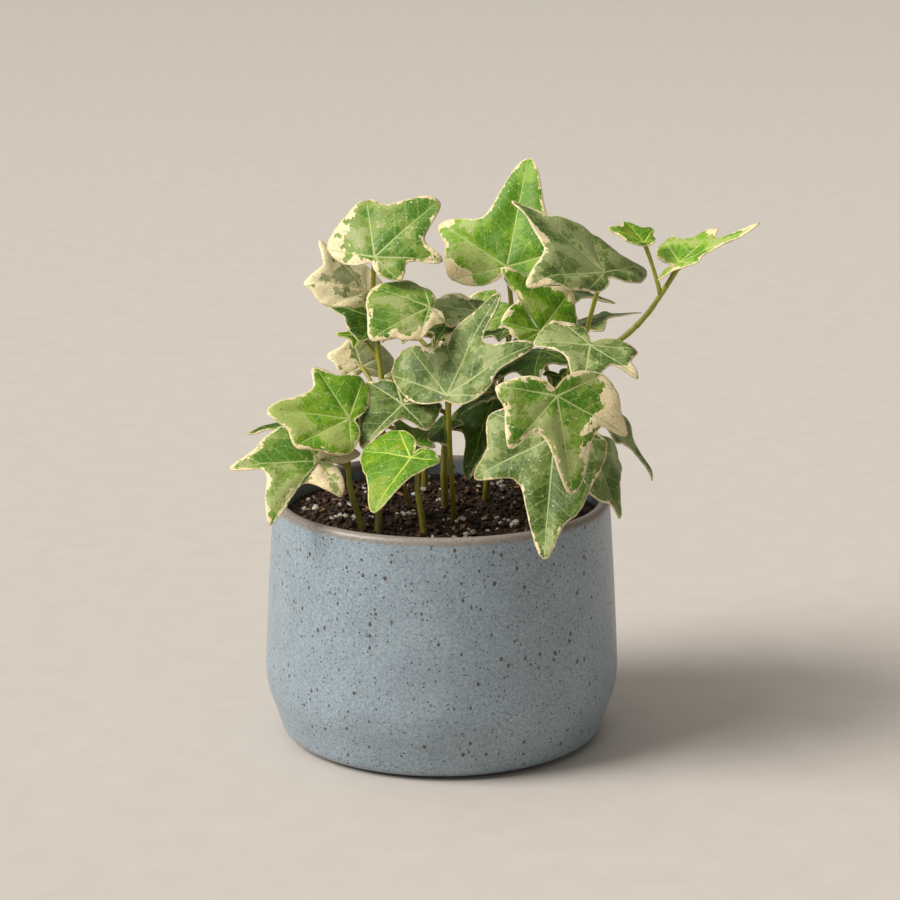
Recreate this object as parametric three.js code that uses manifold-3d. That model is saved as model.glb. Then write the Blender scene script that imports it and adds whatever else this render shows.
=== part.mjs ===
// Variegated ivy in a round stoneware pot.
// Millimetres, +Z up. The origin is the middle of the pot's base, on the surface that it stands on.
import * as THREE from "three";
import { mergeVertices } from "three/addons/utils/BufferGeometryUtils.js";
import Module from "manifold-3d";

const wasm = await Module();
wasm.setup();

// ---- Driving dimensions ----

const CLEARANCE = 0.3; // between pieces that touch

// Pot: a flat base, a flared lower wall, a soft shoulder, and a wall that closes in a little to the rim.
const POT_HEIGHT = 83;
const RIM_RADIUS = 56.8; // outside, at the lip
const WIDEST_RADIUS = 60; // outside, at the shoulder
const SHOULDER_HEIGHT = 24;
const BASE_RADIUS = 46; // the flat that it stands on
const WALL = 4;
const POT_FLOOR = 5;
const FOOT_SHARE = 0.6; // how far out from the flat to the widest radius the flare starts
const FOOT_LIFT = 5; // height at which the flare starts
const SHOULDER_REACH = 12; // height below the shoulder where the flare ends
const SHOULDER_EASE = 4; // height above the shoulder where the straight wall starts
const POT_SIDES = 40;

// Soil
const SOIL_BELOW_RIM = 6.5; // at the wall
const SOIL_MOUND = 1.5; // how much higher the middle is
const ROOTING_DEPTH = 10; // how far a stem goes down into the soil

// Plant
const STEM_RADIUS = 1.3;
const PETIOLE_RADIUS = 0.8;
const BLADE_THICKNESS = 0.7;
const PETIOLE_RISE = 0.12; // how far a petiole bows upwards, as a share of its length
const PETIOLE_STEPS = 4;
const STEM_SIDES = 6;
const PETIOLE_SIDES = 5;

// ---- Colours ----

const finish = (color, roughness) => new THREE.MeshStandardMaterial({ color, roughness, metalness: 0 });
const FINISHES = {
  glaze: finish(0x8396a0, 0.45),
  soil: finish(0x35261c, 1.0),
  stem: finish(0x7b7a3a, 0.6),
  bright: finish(0x7fa23a, 0.5),
  grey: finish(0x6f8560, 0.5),
  marbled: finish(0x9fae80, 0.5),
  dark: finish(0x3f5f1f, 0.5),
  cream: finish(0xe8d7a8, 0.5),
  young: finish(0x8fb80f, 0.45),
};

// ---- Solids ----

function solidOf(geometry) {
  const bare = geometry.clone();
  bare.deleteAttribute("normal");
  bare.deleteAttribute("uv");
  const merged = mergeVertices(bare, 1e-4);
  return new wasm.Manifold(
    new wasm.Mesh({
      numProp: 3,
      vertProperties: new Float32Array(merged.attributes.position.array),
      triVerts: new Uint32Array(merged.index.array),
    }),
  );
}

function geometryOf(solid) {
  const mesh = solid.getMesh();
  const geometry = new THREE.BufferGeometry();
  geometry.setAttribute("position", new THREE.BufferAttribute(new Float32Array(mesh.vertProperties), 3));
  geometry.setIndex(new THREE.BufferAttribute(new Uint32Array(mesh.triVerts), 1));
  const flat = geometry.toNonIndexed();
  flat.computeVertexNormals();
  return flat;
}

function tube(curve, radius, steps, sides) {
  const section = new THREE.Shape();
  for (let side = 0; side < sides; side += 1) {
    const turn = (side / sides) * 2 * Math.PI;
    const x = radius * Math.cos(turn);
    const y = radius * Math.sin(turn);
    if (side === 0) section.moveTo(x, y);
    else section.lineTo(x, y);
  }
  section.closePath();
  return new THREE.ExtrudeGeometry(section, { steps, extrudePath: curve, bevelEnabled: false });
}

function lathed(profile, sides) {
  const turned = new THREE.LatheGeometry(profile, sides);
  turned.rotateX(Math.PI / 2); // the lathe's axis, +Y, becomes +Z
  return turned;
}

// ---- Pot ----

const point = (radius, height) => new THREE.Vector2(radius, height);
const LIP_RADIUS = WALL / 2;

// The outside or inside line of the wall, from the base up: `inset` is how far inside the outer face it runs.
function wallLine(inset, bottom) {
  const line = new THREE.Path();
  const widest = WIDEST_RADIUS - inset;
  const corner = BASE_RADIUS + (WIDEST_RADIUS - BASE_RADIUS) * FOOT_SHARE - inset;
  line.moveTo(BASE_RADIUS - inset, bottom);
  line.quadraticCurveTo(corner, bottom + 0.08 * FOOT_LIFT, corner + 0.16 * FOOT_LIFT, bottom + FOOT_LIFT);
  line.lineTo(widest - 2.6, Math.max(SHOULDER_HEIGHT - SHOULDER_REACH, bottom + FOOT_LIFT + 1));
  line.quadraticCurveTo(
    widest + 0.6, SHOULDER_HEIGHT - 0.4 * SHOULDER_REACH,
    widest - 0.1, SHOULDER_HEIGHT + SHOULDER_EASE,
  );
  line.lineTo(RIM_RADIUS - inset, POT_HEIGHT - LIP_RADIUS);
  return line.getPoints(3);
}

function potProfile() {
  const lip = new THREE.Path();
  lip.absarc(RIM_RADIUS - LIP_RADIUS, POT_HEIGHT - LIP_RADIUS, LIP_RADIUS, 0, Math.PI, false);
  const outside = wallLine(0, 0);
  const inside = wallLine(WALL, POT_FLOOR).reverse();
  return [point(0, 0), ...outside, ...lip.getPoints(5).slice(1, -1), ...inside, point(0, POT_FLOOR)];
}

// ---- Soil ----

const SOIL_EDGE = POT_HEIGHT - SOIL_BELOW_RIM;
const SOIL_TOP = SOIL_EDGE + SOIL_MOUND;

// The radius of the wall's straight upper part at a height, this far inside the outer face.
function wallRadius(height, inset) {
  const low = SHOULDER_HEIGHT + SHOULDER_EASE;
  const share = (height - low) / (POT_HEIGHT - LIP_RADIUS - low);
  return THREE.MathUtils.lerp(WIDEST_RADIUS - 0.1, RIM_RADIUS, share) - inset;
}

function soilProfile() {
  const inset = WALL + CLEARANCE;
  const bottom = POT_FLOOR + CLEARANCE;
  const wall = wallLine(inset, bottom).slice(0, -1); // all but the end of the line, which is at the lip
  const edge = wallRadius(SOIL_EDGE, inset);
  const crown = [0.85, 0.6, 0.3].map((part) => {
    return point(edge * part, SOIL_EDGE + SOIL_MOUND * Math.cos((part * Math.PI) / 2));
  });
  return [point(0, bottom), ...wall, point(edge, SOIL_EDGE), ...crown, point(0, SOIL_TOP)];
}

// ---- Stems ----

// Each stem starts in the soil and passes through these points, whose heights are above the soil's top.
// Petioles leave it further up.
const STEMS = {
  stem_left_low: [[-24, -27, -ROOTING_DEPTH], [-26, -26, 0], [-30, -24, 13], [-31, -20, 26]],
  stem_left_tall: [
    [-21, -28, -ROOTING_DEPTH], [-21, -27, 0], [-20, -14, 22], [-20, -2, 44], [-22, 1, 60], [-23, 2, 72],
  ],
  stem_front: [[-6, -28, -ROOTING_DEPTH], [-6, -28, 0], [-8, -27, 14], [-8, -27, 20]],
  stem_centre: [[1, 2, -ROOTING_DEPTH], [1, 2, 0], [1, 1, 20], [3, 3, 40], [7, 5, 60]],
  stem_right: [[33, -12, -ROOTING_DEPTH], [33, -12, 0], [35, -12, 20], [40, -14, 40], [42, -14, 50]],
  stem_trailing: [
    [30, 10, -ROOTING_DEPTH], [31, 10, 0], [39, 8, 32], [50, 4, 54], [58, 1, 57], [65, 0, 63], [70, 0, 69],
    [73, 0, 74], [75, 0, 77],
  ],
  stem_top: [[15, 12, -ROOTING_DEPTH], [15, 12, 0], [18, 13, 27], [22, 13, 52], [24, 12, 62]],
  stem_back: [[-6, 26, -ROOTING_DEPTH], [-6, 27, 0], [-5, 29, 22], [0, 29, 47]],
};

const onSoil = ([x, y, height]) => new THREE.Vector3(x, y, SOIL_TOP + height);
const curveOf = (points) => new THREE.CatmullRomCurve3(points.map(onSoil));

const stemCurves = Object.fromEntries(Object.entries(STEMS).map(([name, points]) => [name, curveOf(points)]));
const stemSteps = (curve) => Math.max(4, Math.round(curve.getLength() / 12));

// ---- Leaf blades ----

// A blade is flat lobes round the place where the petiole meets it. Each lobe has an angle from the midrib,
// anticlockwise as seen from above, and a length. The first lobe is the tip, and they go round to the notch.
// A lobe may also say how the bay after it lies: its depth, which past 1 makes the edge swell instead, and
// how many degrees it is off the middle of the two lobes.
const BAY_DEPTH = 0.72; // a bay between two lobes, as a share of the straight line from tip to tip
const NOTCH = 1.6; // from the petiole to the notch behind it
const SHOULDER = 1.3; // how far the blade beside the notch swells past a straight line
const LATERAL_DROOP = 0.25; // how much the side lobes hang
const FOLD_ROUNDING = 0.08; // half width of the rounded bottom of the fold, as a share of the length

const fiveLobes = (length) => [
  [0, length], [57, 0.78 * length], [118, 0.5 * length], [-118, 0.5 * length], [-57, 0.78 * length],
];
const threeLobes = (length) => [
  [0, length], [62, 0.68 * length], [125, 0.4 * length], [-125, 0.4 * length], [-62, 0.68 * length],
];

const polar = (angle, length) => {
  const turn = THREE.MathUtils.degToRad(angle);
  return new THREE.Vector2(length * Math.cos(turn), length * Math.sin(turn));
};

function outlineOf(grown) {
  const tips = grown.lobes.map(([angle, length, depth = BAY_DEPTH, shift = 0]) => {
    return { angle: (angle + 360) % 360, length, depth, shift };
  });
  const notch = polar(180, NOTCH);
  const beside = (tip) => polar(tip.angle, tip.length).add(notch).multiplyScalar(SHOULDER / 2);
  const line = [];
  tips.forEach((tip, index) => {
    const next = tips[(index + 1) % tips.length];
    const half = ((next.angle - tip.angle + 360) % 360) / 2;
    const chord = (2 * tip.length * next.length * Math.cos(THREE.MathUtils.degToRad(half)))
      / (tip.length + next.length);
    line.push(polar(tip.angle, tip.length));
    if (tip.angle < 180 && next.angle > 180) line.push(beside(tip), notch, beside(next));
    else line.push(polar(tip.angle + half + tip.shift, tip.depth * chord));
  });
  return line;
}

// A flat point of the leaf, bent to the leaf's real form. `bend` lowers the tip by that angle,
// `fold` raises both halves to a shallow V, and a negative fold lowers them.
function bladePoint(grown, flat, rise) {
  const size = grown.lobes[0][1];
  const turn = THREE.MathUtils.degToRad(grown.bend);
  const x = flat.x / size;
  const y = flat.y / size;
  const folded = grown.fold * (Math.hypot(y, FOLD_ROUNDING) - FOLD_ROUNDING);
  const lift = rise / size + folded - LATERAL_DROOP * Math.abs(y) ** 3;
  const angle = turn * x;
  const along = grown.bend === 0 ? x : Math.sin(angle) / turn;
  const drop = grown.bend === 0 ? 0 : (1 - Math.cos(angle)) / turn;
  const place = new THREE.Vector3(along + lift * Math.sin(angle), y, lift * Math.cos(angle) - drop);
  return place.applyAxisAngle(new THREE.Vector3(0, 1, 0), -turn / 2).multiplyScalar(size);
}

const RINGS = [0.5, 1];

function bladeGeometry(grown) {
  const outline = outlineOf(grown);
  const count = outline.length;
  const positions = [];
  for (const rise of [BLADE_THICKNESS / 2, -BLADE_THICKNESS / 2]) {
    positions.push(bladePoint(grown, new THREE.Vector2(), rise));
    for (const ring of RINGS) {
      const ringed = outline.map((place) => place.clone().multiplyScalar(ring));
      positions.push(...ringed.map((place) => bladePoint(grown, place, rise)));
    }
  }
  const layer = 1 + RINGS.length * count;
  const triangles = [];
  const quad = (a, b, c, d) => triangles.push(a, b, c, a, c, d);
  for (let k = 0; k < count; k += 1) {
    const next = (k + 1) % count;
    triangles.push(0, 1 + k, 1 + next);
    triangles.push(layer, layer + 1 + next, layer + 1 + k);
    quad(1 + k, 1 + count + k, 1 + count + next, 1 + next);
    quad(layer + 1 + next, layer + 1 + count + next, layer + 1 + count + k, layer + 1 + k);
    quad(1 + count + k, layer + 1 + count + k, layer + 1 + count + next, 1 + count + next);
  }
  const geometry = new THREE.BufferGeometry();
  const numbers = positions.flatMap((place) => place.toArray());
  geometry.setAttribute("position", new THREE.Float32BufferAttribute(numbers, 3));
  geometry.setIndex(triangles);
  return geometry;
}

// ---- Leaves ----

// from: the stem that it grows on, how far up (0 to 1) and, where it isn't the usual, how far its petiole
// bows up; or the leaf's own place in the soil. base: where the petiole meets the blade, with its height above
// the soil's top. way: the tip's heading in plan from +X, its rise, and the roll about the midrib. form: bend
// and fold. All angles in degrees.
const leaf = (name, finish, from, base, way, form, lobes) => {
  const [heading, pitch, roll] = way;
  const [bend, fold] = form;
  return { name, finish, from, base: onSoil(base), heading, pitch, roll, bend, fold, lobes };
};

const LEAVES = [
  // Left, upper
  leaf("leaf_top_left", "marbled", ["stem_left_tall", 1], [-22, -5, 87], [27, 37, 40], [20, -0.1],
    [[-2, 30, 0.84, 10], [54, 24, 1.12, -3], [119, 18], [-93, 12, 0.76, 11], [-50, 23, 0.73, -3]]),
  leaf("leaf_left_cream", "cream", ["stem_left_tall", 0.93], [-25, 8, 73], [139, 40, 8], [10, 0],
    [[9, 25, 0.84, 6], [68, 24, 1.05], [98, 20], [-113, 12, 1.1], [-41, 14, 0.93, 10]]),
  leaf("leaf_left_shaded", "dark", ["stem_left_tall", 0.8], [-21, 6, 64], [165, 5, -30], [10, 0],
    [[-11, 21, 1, -12], [74, 12, 0.95, -5], [120, 9], [-123, 6, 1.2], [-34, 14]]),
  leaf("leaf_left_bud", "young", ["stem_left_tall", 0.76], [-27, 3, 59], [190, 5, -40], [10, 0],
    threeLobes(9)),
  leaf("leaf_left_folded", "marbled", ["stem_left_tall", 0.88], [-4, -15, 72], [-144, -20, -35], [30, -0.1],
    [[-1, 25, 1], [36, 15, 0.9], [100, 7], [-123, 14, 1.15, -4], [-65, 21, 1.1, 7]]),
  leaf("leaf_left_pale", "cream", ["stem_left_tall", 0.6], [-27, 5, 48], [115, 45, 0], [10, 0],
    [[0, 12, 0.94], [57, 12, 1.1], [110, 7], [-110, 10, 1.2], [-68, 17, 1.1]]),
  leaf("leaf_left_small", "grey", ["stem_left_tall", 0.55], [-16, 1, 46], [-140, -50, 0], [10, 0],
    threeLobes(9)),
  // Middle
  leaf("leaf_inner_1", "dark", ["stem_centre", 0.92], [-8, 3.5, 60], [180, -15, 0], [15, 0], fiveLobes(13)),
  leaf("leaf_inner_2", "bright", ["stem_centre", 0.86], [-4, -1, 56], [-160, -25, 0], [10, 0],
    threeLobes(10)),
  leaf("leaf_inner_3", "dark", ["stem_centre", 0.96], [2, 2, 63], [-120, -30, 0], [10, 0], threeLobes(12)),
  leaf("leaf_behind_centre", "grey", ["stem_centre", 1], [12, 4, 67], [174, 7, -20], [10, 0],
    [[0, 17, 0.95], [54, 14], [125, 8], [-95, 9], [-54, 14, 1]]),
  leaf("leaf_centre", "grey", [4, -10], [2, -26, 45], [60, 50, -5], [20, 0],
    [[-9, 41, 0.65, 8], [52, 28, 1.04], [76, 27], [-85, 12, 1], [-49, 34, 0.6, 5]]),
  leaf("leaf_middle_left", "grey", ["stem_centre", 0.6], [-13, -17, 40], [-147, -40, -32], [20, 0],
    [[0, 21, 0.48, 3], [80, 13, 1.1], [134, 13], [-124, 10, 1.1, 5], [-92, 17, 1.1, 10]]),
  leaf("leaf_inner_low", "dark", ["stem_centre", 0.5], [1, -4, 30], [-150, -35, 0], [10, 0], fiveLobes(16)),
  leaf("leaf_inner_big", "dark", ["stem_centre", 0.7], [18, -3, 40], [-130, -62, 10], [15, 0], fiveLobes(31)),
  leaf("leaf_inner_curled", "dark", ["stem_right", 0.8], [17, -14, 42], [190, -25, 0], [30, 0.2],
    threeLobes(10)),
  // Top
  leaf("leaf_top", "bright", ["stem_top", 1], [22, 10, 81], [72, 62, 0], [10, 0],
    [[-3, 40, 0.66, 4], [61, 31, 1.04, -6], [106, 20], [-129, 13, 1.2], [-69, 24, 0.84, -3]]),
  leaf("leaf_top_right", "grey", ["stem_trailing", 0.6], [53, -12, 83], [164, 35, -12], [15, 0],
    [[-3, 40, 0.76, 4], [64, 35, 1.12, -2], [92, 16], [-107, 31, 0.77, -10], [-51, 20, 1.04, 16]]),
  leaf("leaf_upper_middle", "bright", ["stem_top", 0.85], [32, -20, 65], [120, 50, 0], [10, 0],
    [[14, 26, 0.76, -20], [68, 14, 1.13, -6], [110, 8], [-95, 14, 1.05], [-52, 25, 0.86, -8]]),
  leaf("leaf_upper_inner", "dark", ["stem_top", 0.9], [21, 0, 61], [200, -10, 0], [10, 0], fiveLobes(12)),
  leaf("leaf_upper_bud", "young", ["stem_centre", 0.9], [17, -8, 54], [-110, -50, 0], [10, 0], threeLobes(8)),
  // Right
  leaf("leaf_tip_bud", "young", ["stem_trailing", 0.96], [67, 0, 91], [118, 23, 9], [0, 0.2],
    [[-1, 14, 0.61], [57, 13], [102, 8], [-77, 5], [-45, 11, 0.67]]),
  leaf("leaf_far_right", "bright", ["stem_trailing", 0.83, -0.12], [79, 0, 84], [-6, 26, 18], [0, 0.1],
    [[4, 31, 0.66], [39, 20, 0.74], [99, 24], [-160, 10], [-45, 9]]),
  leaf("leaf_right_behind", "grey", ["stem_trailing", 0.5], [46, 20, 59], [-5, 12, 0], [15, 0],
    fiveLobes(23)),
  leaf("leaf_right_thin", "grey", ["stem_top", 0.97], [40, 16, 72], [-8, -12, 0], [10, 0], threeLobes(20)),
  leaf("leaf_right", "grey", ["stem_right", 1], [47.7, -34, 63.3], [-98, -38, -8], [20, 0],
    [[-3, 23, 0.6, 12], [57, 20, 0.87, -2], [96, 16], [-140, 18, 1.07, -2], [-92, 18, 0.7, -3]]),
  leaf("leaf_front_right", "marbled", ["stem_right", 0.9], [36, -62, 53], [-64, -69, 7], [15, 0],
    [[-1, 33, 0.63, 17], [55, 27, 1.07, -3], [107, 19], [-108, 20, 0.93, -6], [-51, 24, 0.54, -12]]),
  leaf("leaf_over_rim", "grey", ["stem_right", 0.6], [36, -50, 37], [-100, -65, 5], [10, 0],
    [[-1, 41, 1.06, -3], [37, 21, 1.1], [88, 17], [-110, 24, 0.91, 4], [-62, 30, 0.62, -6]]),
  leaf("leaf_right_low", "grey", ["stem_right", 0.68], [48, -32, 29.5], [-46, -62, -15], [10, 0],
    [[6, 26, 0.83, -4], [74, 23, 1.15], [105, 14], [-85, 11, 1.1], [-43, 19, 0.99, 9]]),
  leaf("leaf_right_under", "grey", ["stem_right", 0.75], [53, 9, 30], [-12, -48, 0], [20, 0.2],
    threeLobes(30)),
  leaf("leaf_arch", "dark", ["stem_trailing", 0.42], [33, 0, 54], [-160, -28, 0], [40, -0.2], fiveLobes(26)),
  leaf("leaf_right_inner", "dark", ["stem_right", 0.92], [40, -6, 47], [-50, -30, 0], [10, 0], fiveLobes(14)),
  // Left, lower
  leaf("leaf_front_bright", "young", ["stem_front", 1], [-10, -42, 28], [-135, -45, -15], [20, -0.1],
    [[-2, 23, 0.94, -5], [112, 10, 1.1], [155, 7], [-129, 16, 1.14], [-85, 20, 0.97, 6]]),
  leaf("leaf_front_behind", "bright", ["stem_front", 0.9], [-9, -20, 28], [120, 20, 0], [10, 0],
    fiveLobes(15)),
  leaf("leaf_near_soil", "bright", [-7, -13], [-13, -22, 17], [-150, -35, 0], [10, 0.2], threeLobes(10)),
  leaf("leaf_left", "bright", ["stem_left_low", 1], [-30, -20, 36], [-172, 7, -44], [20, 0],
    [[0, 28, 0.92, 3], [36, 22, 1.14, -6], [94, 13], [-107, 20, 0.9, 3], [-61, 24, 0.7, -6]]),
  leaf("leaf_left_low", "marbled", ["stem_left_low", 0.85], [-40, -30, 24], [-170, -5, -35], [20, 0],
    [[-2, 30, 0.67, -14], [49, 31, 0.55, -18], [111, 16], [-165, 16], [-69, 20, 1.05, 12]]),
  leaf("leaf_left_dark", "dark", ["stem_left_low", 0.95], [-44, -2, 31], [185, -12, 0], [15, 0],
    fiveLobes(22)),
  // Back
  leaf("leaf_back_1", "grey", ["stem_back", 0.95], [-14, 38, 56], [130, 20, 15], [15, 0], fiveLobes(30)),
  leaf("leaf_back_2", "marbled", ["stem_back", 1], [10, 40, 54], [75, 15, -10], [15, 0], fiveLobes(32)),
  leaf("leaf_back_3", "bright", ["stem_back", 0.8], [30, 40, 44], [50, -10, -15], [15, 0], fiveLobes(28)),
  leaf("leaf_back_4", "grey", ["stem_back", 0.7], [-30, 30, 30], [140, -25, 10], [15, 0], fiveLobes(28)),
  leaf("leaf_back_5", "marbled", ["stem_back", 0.6], [-4, 48, 36], [92, -35, 0], [15, 0], fiveLobes(33)),
  leaf("leaf_back_6", "dark", ["stem_back", 0.5], [26, 46, 22], [60, -45, -10], [15, 0], fiveLobes(28)),
  leaf("leaf_back_7", "grey", ["stem_back", 0.45], [-30, 44, 20], [125, -45, 10], [15, 0], fiveLobes(28)),
];

function petioleCurve(grown) {
  const { from, base } = grown;
  if (typeof from[0] === "string") {
    const [stem, share, bow = PETIOLE_RISE] = from;
    const start = stemCurves[stem].getPointAt(share);
    const rising = start.clone().lerp(base, 0.45);
    rising.z += bow * start.distanceTo(base);
    return new THREE.QuadraticBezierCurve3(start, rising, base);
  }
  const start = onSoil([...from, -ROOTING_DEPTH]);
  const bending = start.clone().lerp(base, 0.6);
  bending.y += 0.15 * (start.y - base.y);
  return new THREE.CatmullRomCurve3([start, onSoil([...from, 2]), bending, base]);
}

function placedBlade(grown) {
  const geometry = bladeGeometry(grown);
  const turn = new THREE.Matrix4()
    .makeRotationZ(THREE.MathUtils.degToRad(grown.heading))
    .multiply(new THREE.Matrix4().makeRotationY(THREE.MathUtils.degToRad(-grown.pitch)))
    .multiply(new THREE.Matrix4().makeRotationX(THREE.MathUtils.degToRad(grown.roll)));
  geometry.applyMatrix4(turn);
  geometry.translate(...grown.base.toArray());
  return geometry;
}

// ---- The plant in its pot ----

const plant = new THREE.Group();

function add(name, solid, material) {
  const mesh = new THREE.Mesh(geometryOf(solid), FINISHES[material]);
  mesh.name = name;
  plant.add(mesh);
}

let soil = solidOf(lathed(soilProfile(), POT_SIDES));
const stemHoles = {};

for (const [name, curve] of Object.entries(stemCurves)) {
  const hole = solidOf(tube(curve, STEM_RADIUS + CLEARANCE, stemSteps(curve), STEM_SIDES));
  stemHoles[name] = hole;
  soil = soil.subtract(hole);
  add(name, solidOf(tube(curve, STEM_RADIUS, stemSteps(curve), STEM_SIDES)), "stem");
}

for (const grown of LEAVES) {
  const curve = petioleCurve(grown);
  const petiole = solidOf(tube(curve, PETIOLE_RADIUS, PETIOLE_STEPS, PETIOLE_SIDES));
  let solid = petiole.add(solidOf(placedBlade(grown)));
  for (const hole of Object.values(stemHoles)) solid = solid.subtract(hole);
  soil = soil.subtract(solidOf(tube(curve, PETIOLE_RADIUS + CLEARANCE, PETIOLE_STEPS, PETIOLE_SIDES)));
  add(grown.name, solid, grown.finish);
}

add("soil", soil, "soil");
add("pot", solidOf(lathed(potProfile(), POT_SIDES)), "glaze");

export default plant;
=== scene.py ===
# %% [markdown]
# # Variegated ivy in a stoneware pot
#
# The plant stands in a round pot of blue-grey speckled stoneware. Eight stems leave the soil, and each leaf
# hangs on its own petiole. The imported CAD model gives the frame: where the pot, the soil, the stems and each
# leaf are. Here every one of them gets the shape and the finish of the real thing, in the same place.

# %% Load the frame
import math
import random

import bpy
import numpy as np
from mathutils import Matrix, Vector, noise


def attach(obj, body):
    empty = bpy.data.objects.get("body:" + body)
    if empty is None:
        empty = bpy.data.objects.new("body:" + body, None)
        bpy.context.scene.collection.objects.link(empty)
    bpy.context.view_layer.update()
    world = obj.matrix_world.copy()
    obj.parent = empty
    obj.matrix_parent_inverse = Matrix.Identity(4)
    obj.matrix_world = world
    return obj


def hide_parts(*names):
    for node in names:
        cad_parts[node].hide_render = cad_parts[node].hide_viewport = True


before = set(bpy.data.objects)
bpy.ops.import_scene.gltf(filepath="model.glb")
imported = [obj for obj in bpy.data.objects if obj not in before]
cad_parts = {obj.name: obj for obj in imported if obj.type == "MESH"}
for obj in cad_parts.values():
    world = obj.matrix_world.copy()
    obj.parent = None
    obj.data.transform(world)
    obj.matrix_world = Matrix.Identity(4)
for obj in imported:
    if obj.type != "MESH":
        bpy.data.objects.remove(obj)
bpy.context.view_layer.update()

MM = 0.001

# %% [markdown]
# ## Small helpers
#
# Blender works in linear light, while a colour picked by eye is an sRGB hex value, so one function turns one
# into the other. Another adds a shader node with its settings and links, which keeps each material readable.
# Operators act on all that is selected, so the selection is cleared before each new piece.

# %% Colours and nodes
def colour(code):
    """The linear colour of an sRGB hex value such as 8396A0."""
    channels = [int(code[place:place + 2], 16) / 255 for place in (0, 2, 4)]
    linear = [c / 12.92 if c <= 0.04045 else ((c + 0.055) / 1.055) ** 2.4 for c in channels]
    return (*linear, 1.0)


def add_node(tree, kind, links=None, stops=None, **settings):
    """Adds a shader node. links maps a socket's name or number to a value, to another node's output, or to a
    node, which means its first output. stops are the places and colours of a colour ramp."""
    new = tree.nodes.new("ShaderNode" + kind)
    for setting, value in settings.items():
        setattr(new, setting, value)
    for socket, value in (links or {}).items():
        if isinstance(value, bpy.types.Node):
            value = value.outputs[0]
        if isinstance(value, bpy.types.NodeSocket):
            tree.links.new(value, new.inputs[socket])
        else:
            new.inputs[socket].default_value = value
    if stops:
        elements = new.color_ramp.elements
        while len(elements) < len(stops):
            elements.new(0.5)
        for element, (place, shade) in zip(elements, stops):
            element.position = place
            element.color = shade
    return new


def start_material(name):
    """An empty node material, and its tree."""
    material = bpy.data.materials.new(name)
    material.use_nodes = True
    material.node_tree.nodes.clear()
    return material, material.node_tree


def millimetres(tree):
    """Each point's place on its piece in mm, from its Object coordinates."""
    metres = add_node(tree, "TexCoord").outputs["Object"]
    return add_node(tree, "VectorMath", {0: metres, "Scale": 1 / MM}, operation="SCALE")


print("sRGB 8396A0 in linear light:", [round(c, 3) for c in colour("8396A0")])

# %% Selection and finishing
def clear_selection():
    """Nothing selected, in object mode."""
    if bpy.context.object and bpy.context.object.mode != "OBJECT":
        bpy.ops.object.mode_set(mode="OBJECT")
    bpy.ops.object.select_all(action="DESELECT")


def pick(piece):
    """Only this piece is selected and active."""
    clear_selection()
    piece.select_set(True)
    bpy.context.view_layer.objects.active = piece


def finish_piece(piece, name, materials, node_name):
    """Names a finished piece, gives it its materials, and puts it in the place of its CAD node."""
    pick(piece)
    bpy.ops.object.transform_apply(location=True, rotation=True, scale=True)
    bpy.ops.object.shade_smooth()
    piece.name = name
    piece.data.name = name
    if materials:
        piece.data.materials.clear()
        for material in materials:
            piece.data.materials.append(material)
    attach(piece, "root")
    if node_name:
        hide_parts(node_name)


def coordinates(piece):
    """The piece's vertices as an array of n rows."""
    flat = np.empty(len(piece.data.vertices) * 3)
    piece.data.vertices.foreach_get("co", flat)
    return flat.reshape(-1, 3)


def set_coordinates(piece, places):
    """Moves the piece's vertices to these places."""
    piece.data.vertices.foreach_set("co", np.asarray(places, dtype=float).ravel())
    piece.data.update()


print("helpers ready")

# %% [markdown]
# ## Camera, floor and light
#
# A long lens a metre away looks down a little, as for a product picture. The main light is wide and soft and
# comes from the upper left and the front, so the pot turns from light to dark across its width and its shadow
# falls to the right. A wide lamp overhead, a pale floor and a pale sky fill the shadows.

# %% Camera
LENS, SENSOR = 117.2, 36.0  # mm
EYE = Vector((0.0, -0.9573, 0.3342))
AIM = Vector((0.0028, 0.0, 0.0984))

clear_selection()
bpy.ops.object.camera_add(location=EYE, rotation=(AIM - EYE).to_track_quat("-Z", "Y").to_euler())
camera = bpy.context.object
camera.data.lens = LENS
camera.data.sensor_width = SENSOR
camera.data.clip_start = 0.02
bpy.context.scene.camera = camera
print("camera", round((AIM - EYE).length, 3), "m from what it looks at")

# %% Floor
clear_selection()
bpy.ops.mesh.primitive_plane_add(size=6.0)
floor = bpy.context.object
floor.name = "floor"
floor_look, tree = start_material("floor, matt painted board")
where = add_node(tree, "TexCoord")
clouds = add_node(tree, "TexNoise", {"Vector": where.outputs["Object"], "Scale": 70.0, "Detail": 4.0})
tone = add_node(tree, "ValToRGB", {"Fac": clouds}, stops=[(0.35, colour("C9C3BC")), (0.65, colour("CCC6BF"))])
surface = add_node(tree, "BsdfPrincipled", {"Base Color": tone, "Roughness": 0.85, "Specular IOR Level": 0.2})
add_node(tree, "OutputMaterial", {"Surface": surface})
floor.data.materials.append(floor_look)
print("floor", floor.dimensions.x, "m wide")

# %% Light
def soft_sun(name, towards, spread, strength, tint):
    """Even light that travels this way, as from a wide diffuser. spread is its width in degrees."""
    clear_selection()
    bpy.ops.object.light_add(type="SUN", rotation=Vector(towards).to_track_quat("-Z", "Y").to_euler())
    lamp = bpy.context.object
    lamp.name = name
    lamp.data.angle = math.radians(spread)
    lamp.data.energy = strength
    lamp.data.color = colour(tint)[:3]


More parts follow.
